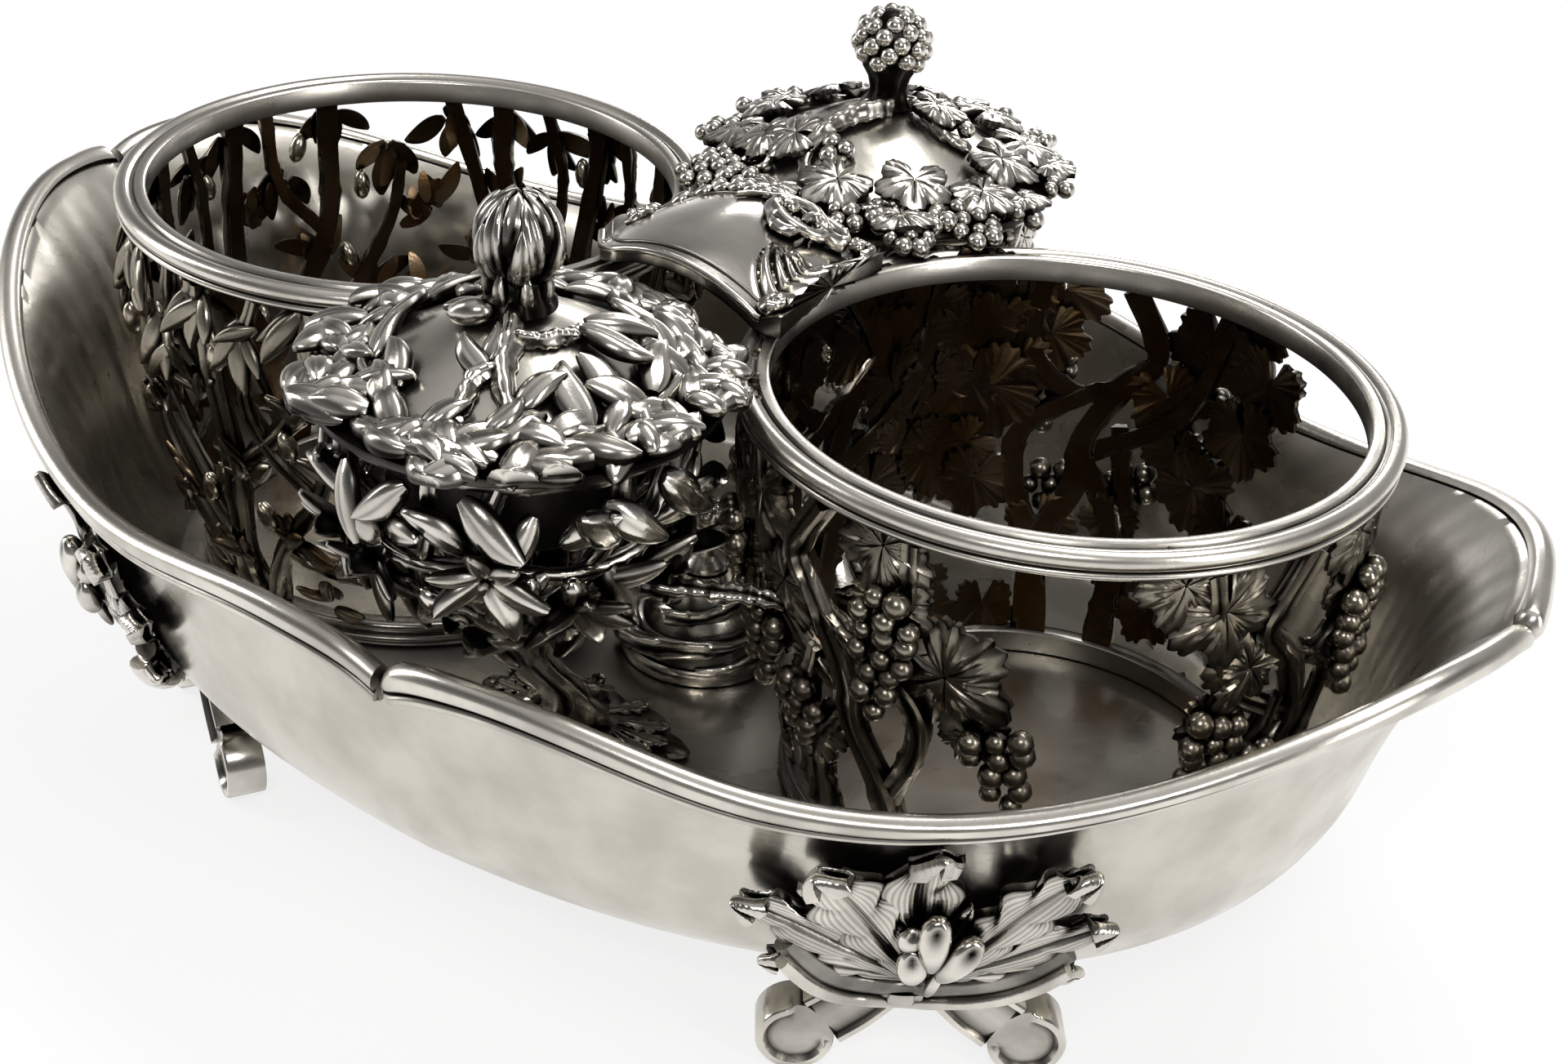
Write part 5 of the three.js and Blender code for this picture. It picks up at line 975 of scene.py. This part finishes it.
vine_front = [[8, 2, 20, 5, 5.6, 0.5], [22, 2, 10, 6, 7.2, 0.6], [15, -16, -60, 6, 7.0, 0.6],
              [4, -23, -110, 6, 7.0, 0.6], [-9, -15, 180, 6, 6.0, 0.4], [-15, -15, -150, 6, 6.2, 0.6],
              [25, -9, -10, 8, 6.6, 0.5], [18, -25, -40, 8, 6.2, 0.3], [-6, -29, -90, 8, 6.0, 0.3],
              [21, 14, 40, 6, 7.0, 0.5], [9, 23, 70, 6, 7.2, 0.5], [-6, 24, 110, 6, 7.0, 0.5],
              [-19, 15, 140, 6, 7.2, 0.5], [-24, 1, 180, 6, 7.0, 0.5], [-23, -12, 220, 6, 6.6, 0.5],
              [0, 13, 100, 6, 5.0, 0.4], [-13, 5, 150, 6, 5.2, 0.4], [28, 13, 20, 8, 5.4, 0.2],
              [-28, 10, 160, 8, 5.4, 0.2], [2, 30, 90, 8, 5.4, 0.2], [31, -4, -20, 8, 5.4, 0.2]]
vine_twigs = [[[1.5, -3, 0.8, 1.9], [0, -6.5, 1.6, 1.7], [-3, -9.5, 1.6, 1.7], [-5, -13, 1.2, 1.5],
               [-6, -18, 0.5, 1.3], [-3, -23, 0.4, 1.1]],
              [[2, 0, 0.8, 1.4], [6, 1, 1.2, 1.2], [12, -1, 0.8, 1.1], [17, 1, 0.5, 1.1]],
              [[22, -22, 0.4, 1.1], [14, -22, 0.7, 1.2], [10, -26, 0.6, 1.1]],
              [[-22, -10, 0.4, 1.2], [-24, 3, 0.5, 1.1], [-18, 15, 0.5, 1.1], [-6, 22, 0.5, 1.1], [8, 22, 0.5, 1.1],
               [19, 14, 0.5, 1.1], [24, 2, 0.5, 1.1], [20, -12, 0.5, 1.1]]]
# rows of olive leaves: radius, how many, turn to either side, proudness
wreath_rows = [(26.0, 17, 140, 0.9), (26.5, 21, 40, 1.3), (30.0, 18, 108, 0.9), (23.5, 13, 60, 0.3),
               (29.5, 22, 62, 0.1), (30.6, 26, 92, 0.4), (28.6, 24, 120, 0.2)]
# grapes: azimuth, radius, turn, number of the bunch
lid_grapes = [(-112, 27, 180, 4), (-70, 28, 170, 3), (-30, 26.5, 180, 4), (12, 31, 180, 5), (-92, 14, 180, 5),
              (33, 27, 180, 3), (55, 28, 180, 3), (90, 28, 180, 3), (125, 28, 180, 3), (155, 28, 180, 3),
              (195, 28, 180, 3), (228, 27.5, 180, 4), (-52, 27.5, 180, 4), (-10, 28, 180, 3), (76, 30, 180, 5),
              (105, 30, 180, 5), (172, 30, 180, 5), (20, 11, 150, 5)]
# the knobs' cores, and their scales: how many, latitudes of root and tip, half width, radius, shift, sweep to one
# side, middle, height
olive_core = [[0.3, 115.2], [6.0, 115.2], [5.4, 116.4], [4.2, 117.6], [3.6, 119.4], [3.7, 121.0], [4.4, 122.4],
              [5.1, 124.0], [5.6, 126.6], [5.3, 129.2], [4.4, 131.2], [2.8, 132.4], [0.3, 132.8]]
vine_core = [[0.3, 115.2], [5.2, 115.2], [3.9, 116.4], [3.4, 118.4], [3.9, 120.6], [5.0, 122.6], [5.7, 124.6],
             [5.9, 127.0], [5.4, 129.4], [4.4, 131.2], [3.0, 132.4], [1.6, 133.0], [0.3, 133.2]]
scales = [(5, -10, 84, 22, 5.6, 0, 12, 126.6, 1.05), (6, -62, 66, 18, 6.1, 30, -8, 126.4, 1.05),
          (6, -74, 34, 15, 6.5, 4, 8, 125.6, 1.0), (7, -84, 50, 15, 4.6, 12, 0, 118.6, 0.9)]
for name, plant, y, core, twigs in (("oil", "olive", -holder_y, olive_core, olive_twigs),
                                    ("vinegar", "vine", holder_y, vine_core, vine_twigs)):
    body = name + "_stopper"
    r = np.linspace(0.3, cap_radius - 0.02, 40)
    outer = np.stack([r[::-1], dome_height(r[::-1])], -1)
    inner = np.stack([r[:34], dome_height(r[:34]) - 1.35], -1)
    profile = np.concatenate([inner, [[28.4, 101.35], [32.6, 101.35], [33.0, 102.0]], outer])
    turn = full_turn(128)
    # painted shade: the dome is black from under the wreath to its rim, between the leaves, and dark inside
    edge = (23.5 if plant == "olive" else 24.5) + 1.2 * np.cos(9 * turn) + 0.9 * np.cos(23 * turn)
    dome_dark = np.concatenate([np.full((37, 128), 0.9), 0.96 * smooth(-0.8, 1.6, r[::-1, None] - edge)])
    make_piece(plant + "_dome", [skins(lathe(profile, (0, y), 128), dome_dark)], sheet_silver,
               [name + "_lid"], body)
    # the sleeve is dark all over: partly tarnished, as it is never polished, and partly painted shade inside the holder
    sleeve = [[17.2, 82.5], [18.5, 82.3], [18.7, 82.6], [18.7, 104.0], [18.7, 106.0], [17.2, 106.0], [17.2, 94.0]]
    make_piece(plant + "_sleeve", [skins(hoop(sleeve, (0, y), 96), 0.85, hoop=True)], sheet_silver,
               [name + "_lid_collar"], body)
    branches = []
    for twig in twigs:
        grid, shade = branch(dome_at, twig, 34, 3, 5.0, 0.14, 4)
        branches.append(skins(grid, 0.6 * shade))
    if plant == "olive":
        rows = []
        for radius, count, tip, proud in wreath_rows:
            a = np.arange(count) * 360 / count + chance.uniform(-5, 5, count)
            side = np.where(np.arange(count) % 3 == 0, -1, 1)
            spread = radius + chance.uniform(-1, 1, count)
            rows.append(rows_of(spread * np.cos(np.radians(a)), spread * np.sin(np.radians(a)),
                                a + side * (tip + chance.uniform(-20, 20, count)), chance.uniform(-2, 8, count),
                                chance.uniform(0.78, 1.05, count), proud))
        spots = np.concatenate(rows)
        parts = [dome_leaves(lance_leaf(10.5, width, thick, curl, bow), leaves)
                 for width, thick, curl, bow, leaves in (
                     (5.6, 2.6, 0.1, 0.1, spots[::2]), (5.6, 2.6, 0.1, -0.1, spots[1::2]),
                     (5.0, 1.9, 0.2, 0.13, olive_front[::2]), (5.0, 1.9, 0.2, -0.13, olive_front[1::2]))]
        parts += branches + [dome_leaves((ball((2.2, 3.5, 2.2), drop=0.15), 0.05), lid_olives)]
    else:
        parts = [dome_leaves(vine_leaf(0.08), np.array(vine_front) * [1, 1, 1, 1, 1.12, 1], 1.7)]
        parts += grapes(on_dome, lid_grapes, 1.75, 0.2) + branches
        # rocaille C-scrolls beside the front leaves
        t = np.linspace(0, 1, 24)
        for middle_x, middle_y, radius, start, end in ((-20, -17, 5.2, 20, 250), (-20, -17, 3.4, 10, 260),
                                                       (-14, -22, 3.0, 180, -60)):
            turn, r = np.radians(lerp(start, end, t)), radius * (1 - 0.4 * t**2)
            path, axes = dome_at(middle_x + r * np.cos(turn), middle_y + r * np.sin(turn), 1.2)
            parts.append(skins(sweep(path, axes[2], 0.9 * lerp(1, 0.6, t), 1.2, round_section), 0.1))
    make_piece(plant + "_wreath", on_stand(parts, [0, y, 0]), cast, [name + "_lid_foliage"], body)

    # Knob: a bud of pointed scales over a ball with a calyx under it, or berries packed on a flaring stalk.
    core = lathe(core, segments=64)
    core[2:6, :, :2] *= (1 + 0.08 * np.cos(8 * full_turn(64)))[None, :, None]
    # the core is painted dark: painted shade in the gaps between the scales and between the berries
    parts = [skins(core, 0.92)]
    if plant == "olive":
        s = np.linspace(0, 1, 20)[:, None]
        u = np.concatenate([np.linspace(-1, 1, 11), np.linspace(1, -1, 11)])[None, :]
        top = np.repeat([1, 0], 11)[None, :]
        furrow = np.cos(2 * np.pi * u + 3 * s)
        # darker in the furrows; the scales' borders and roots are painted dark, a painted shade where they overlap
        shade = 0.28 + 0.55 * smooth(0.2, -1, furrow) + 0.8 * smooth(0.7, 1.0, np.abs(u))
        shade = np.minimum(1, np.where(top > 0, shade, 1.0) + 0.8 * smooth(0.55, 0.1, s))
        for count, low, high, wide, reach, shift, skew, middle, tall in scales:
            lat = np.radians(lerp(low, high, s))
            half = np.radians(wide) * np.sin(np.pi * lerp(0.2, 0.99, s**1.2)) ** 0.7
            ridge = 0.22 * furrow * np.sin(np.pi * s)
            r = reach + 0.9 * np.sqrt(1 - 0.999 * u**2) * np.sin(np.pi * lerp(0.2, 0.85, s)) ** 0.5 + 0.7 * s**3
            r = r - (1 - top) * 1.5 + ridge * top
            for k in range(count):
                a = 2 * np.pi * k / count + np.radians(shift + skew * s) + half * u / np.maximum(0.3, np.cos(lat))
                parts.append(skins(polar(r * np.cos(lat), a, middle + tall * r * np.sin(lat)), shade))
    else:
        # 36 berries follow each other by the golden angle
        k = np.arange(36)
        lat = np.arcsin(lerp(-0.5, 0.98, (k + 0.5) / 36))
        spots = polar(6.0 * np.cos(lat), k * np.radians(137.508), 126.6 + 5.6 * np.sin(lat))
        parts.append(skins(spots[:, None, None] + ball(1) * 1.75, 0.05))
    make_piece(plant + "_knob", on_stand(parts, [0, y, 0]), cast, [name + "_lid_finial"], body)

# Nuts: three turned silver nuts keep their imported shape, under the floor where they hold the base rings and the
# boss by their studs. They are left plain.
for node_name in [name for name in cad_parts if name.startswith("nut_")]:
    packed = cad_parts[node_name]
    packed.data.materials.clear()
    packed.data.materials.append(polished)

# Studio: a white floor that also fills the background, and soft boxes overhead, at both sides, high in front and low
# behind, in a dim room, so that the silver mirrors pale fields with dark borders.
floor_mesh = bpy.data.meshes.new("studio_floor")
floor_mesh.from_pydata([(-6, -6, 0), (6, -6, 0), (6, 6, 0), (-6, 6, 0)], [], [(0, 1, 2, 3)])
studio_floor = bpy.data.objects.new("studio_floor", floor_mesh)
bpy.context.scene.collection.objects.link(studio_floor)
paper = bpy.data.materials.new("white_paper")
paper.use_nodes = True
tree = paper.node_tree
tree.nodes.clear()
# matt paper that is a plain white to the camera and in mirrors, and keeps a fifth of its own shade there
ray = add(tree, "LightPath")
seen = add(tree, "Math", {"operation": "MAXIMUM"}, _0=ray.outputs["Is Camera Ray"], _1=ray.outputs["Is Glossy Ray"])
seen = add(tree, "Math", {"operation": "MAXIMUM"}, _0=seen.outputs[0], _1=ray.outputs["Is Transmission Ray"])
share = add(tree, "Math", {"operation": "MULTIPLY"}, _0=seen.outputs[0], _1=0.8).outputs[0]
matt = add(tree, "BsdfDiffuse", Color=linear("#f4f4f3")).outputs[0]
glow = add(tree, "Emission", Color=linear("#ffffff"), Strength=1.0).outputs[0]
mixed = add(tree, "MixShader", _0=share, _1=matt, _2=glow).outputs[0]
add(tree, "OutputMaterial", Surface=mixed)
floor_mesh.materials.append(paper)

world = bpy.data.worlds.new("studio_room")
bpy.context.scene.world = world
world.use_nodes = True
tree = world.node_tree
tree.nodes.clear()
# the room: half bright at the horizon and dim above it, pale again overhead and far behind, darker behind the camera
way = add(tree, "TexCoord").outputs["Generated"]
parted = add(tree, "SeparateXYZ", Vector=way)
shade = add(tree, "MapRange", _0=parted.outputs["Z"], _1=0.0, _2=0.5, _3=0.5, _4=0.13).outputs[0]
zenith = add(tree, "MapRange", _0=parted.outputs["Z"], _1=0.6, _2=0.9, _3=0.0, _4=0.6).outputs[0]
shade = add(tree, "Math", {"operation": "MAXIMUM"}, _0=shade, _1=zenith).outputs[0]
far = add(tree, "MapRange", _0=parted.outputs["Y"], _1=0.45, _2=0.75, _3=0.0, _4=0.34).outputs[0]
shade = add(tree, "Math", {"operation": "MAXIMUM"}, _0=shade, _1=far).outputs[0]
side = add(tree, "MapRange", _0=parted.outputs["Y"], _1=-0.8, _2=0.3, _3=0.55, _4=1.0).outputs[0]
shade = add(tree, "Math", {"operation": "MULTIPLY"}, _0=shade, _1=side).outputs[0]
room = add(tree, "Background", Color=linear("#ffffff"), Strength=shade).outputs[0]
add(tree, "OutputWorld", Surface=room)


def stand_at(thing, spot, right, up, away):
    """Puts a lamp or a camera in the scene at a point, with the directions of its own three axes."""
    holder = bpy.data.objects.new(thing.name, thing)
    pose = np.eye(4)
    pose[:3] = np.stack([right, up, away, spot], 1)
    holder.matrix_world = Matrix(pose.tolist())
    bpy.context.scene.collection.objects.link(holder)
    return holder


# soft boxes: name, place, the height over the middle that each looks at, its two sides, power in watts
for name, spot, aim, size, power in (("overhead", (0.1, 0.35, 1.1), 0.05, (0.9, 0.3), 6.0),
                                     ("left_side", (-0.95, -0.35, 0.55), 0.05, (0.25, 0.8), 4.5),
                                     ("right_side", (1.0, -0.2, 0.5), 0.05, (0.2, 0.7), 4.0),
                                     ("near_high", (0.35, -0.8, 0.9), 0.05, (0.35, 0.15), 4.0),
                                     ("far_low", (-0.3, 0.95, 0.4), 0.08, (0.5, 0.12), 2.5)):
    light = bpy.data.lights.new(name, "AREA")
    light.shape = "RECTANGLE"
    light.size, light.size_y = size
    light.energy = power
    away = unit(np.array(spot) - np.array([0, 0, aim]))
    right = unit(np.cross([0, 0, 1], away) + np.array([1e-6, 0, 0]))
    stand_at(light, spot, right, np.cross(away, right), away)

# Camera: solved from the circles of the two bottle rings and the line of the rim in the photograph. It stands
# 47 cm from the middle and looks down by 31 degrees, against the third of its own axes.
lens = bpy.data.cameras.new("photo_camera")
lens.sensor_width, lens.lens = 36.0, 55.17
bpy.context.scene.camera = stand_at(lens, [0.20293, -0.31994, 0.27395], [0.84499, 0.53170, 0.05732],
                                    [-0.31390, 0.40633, 0.85812], [0.43297, -0.74309, 0.51024])
bpy.context.scene.view_settings.view_transform = "Standard"
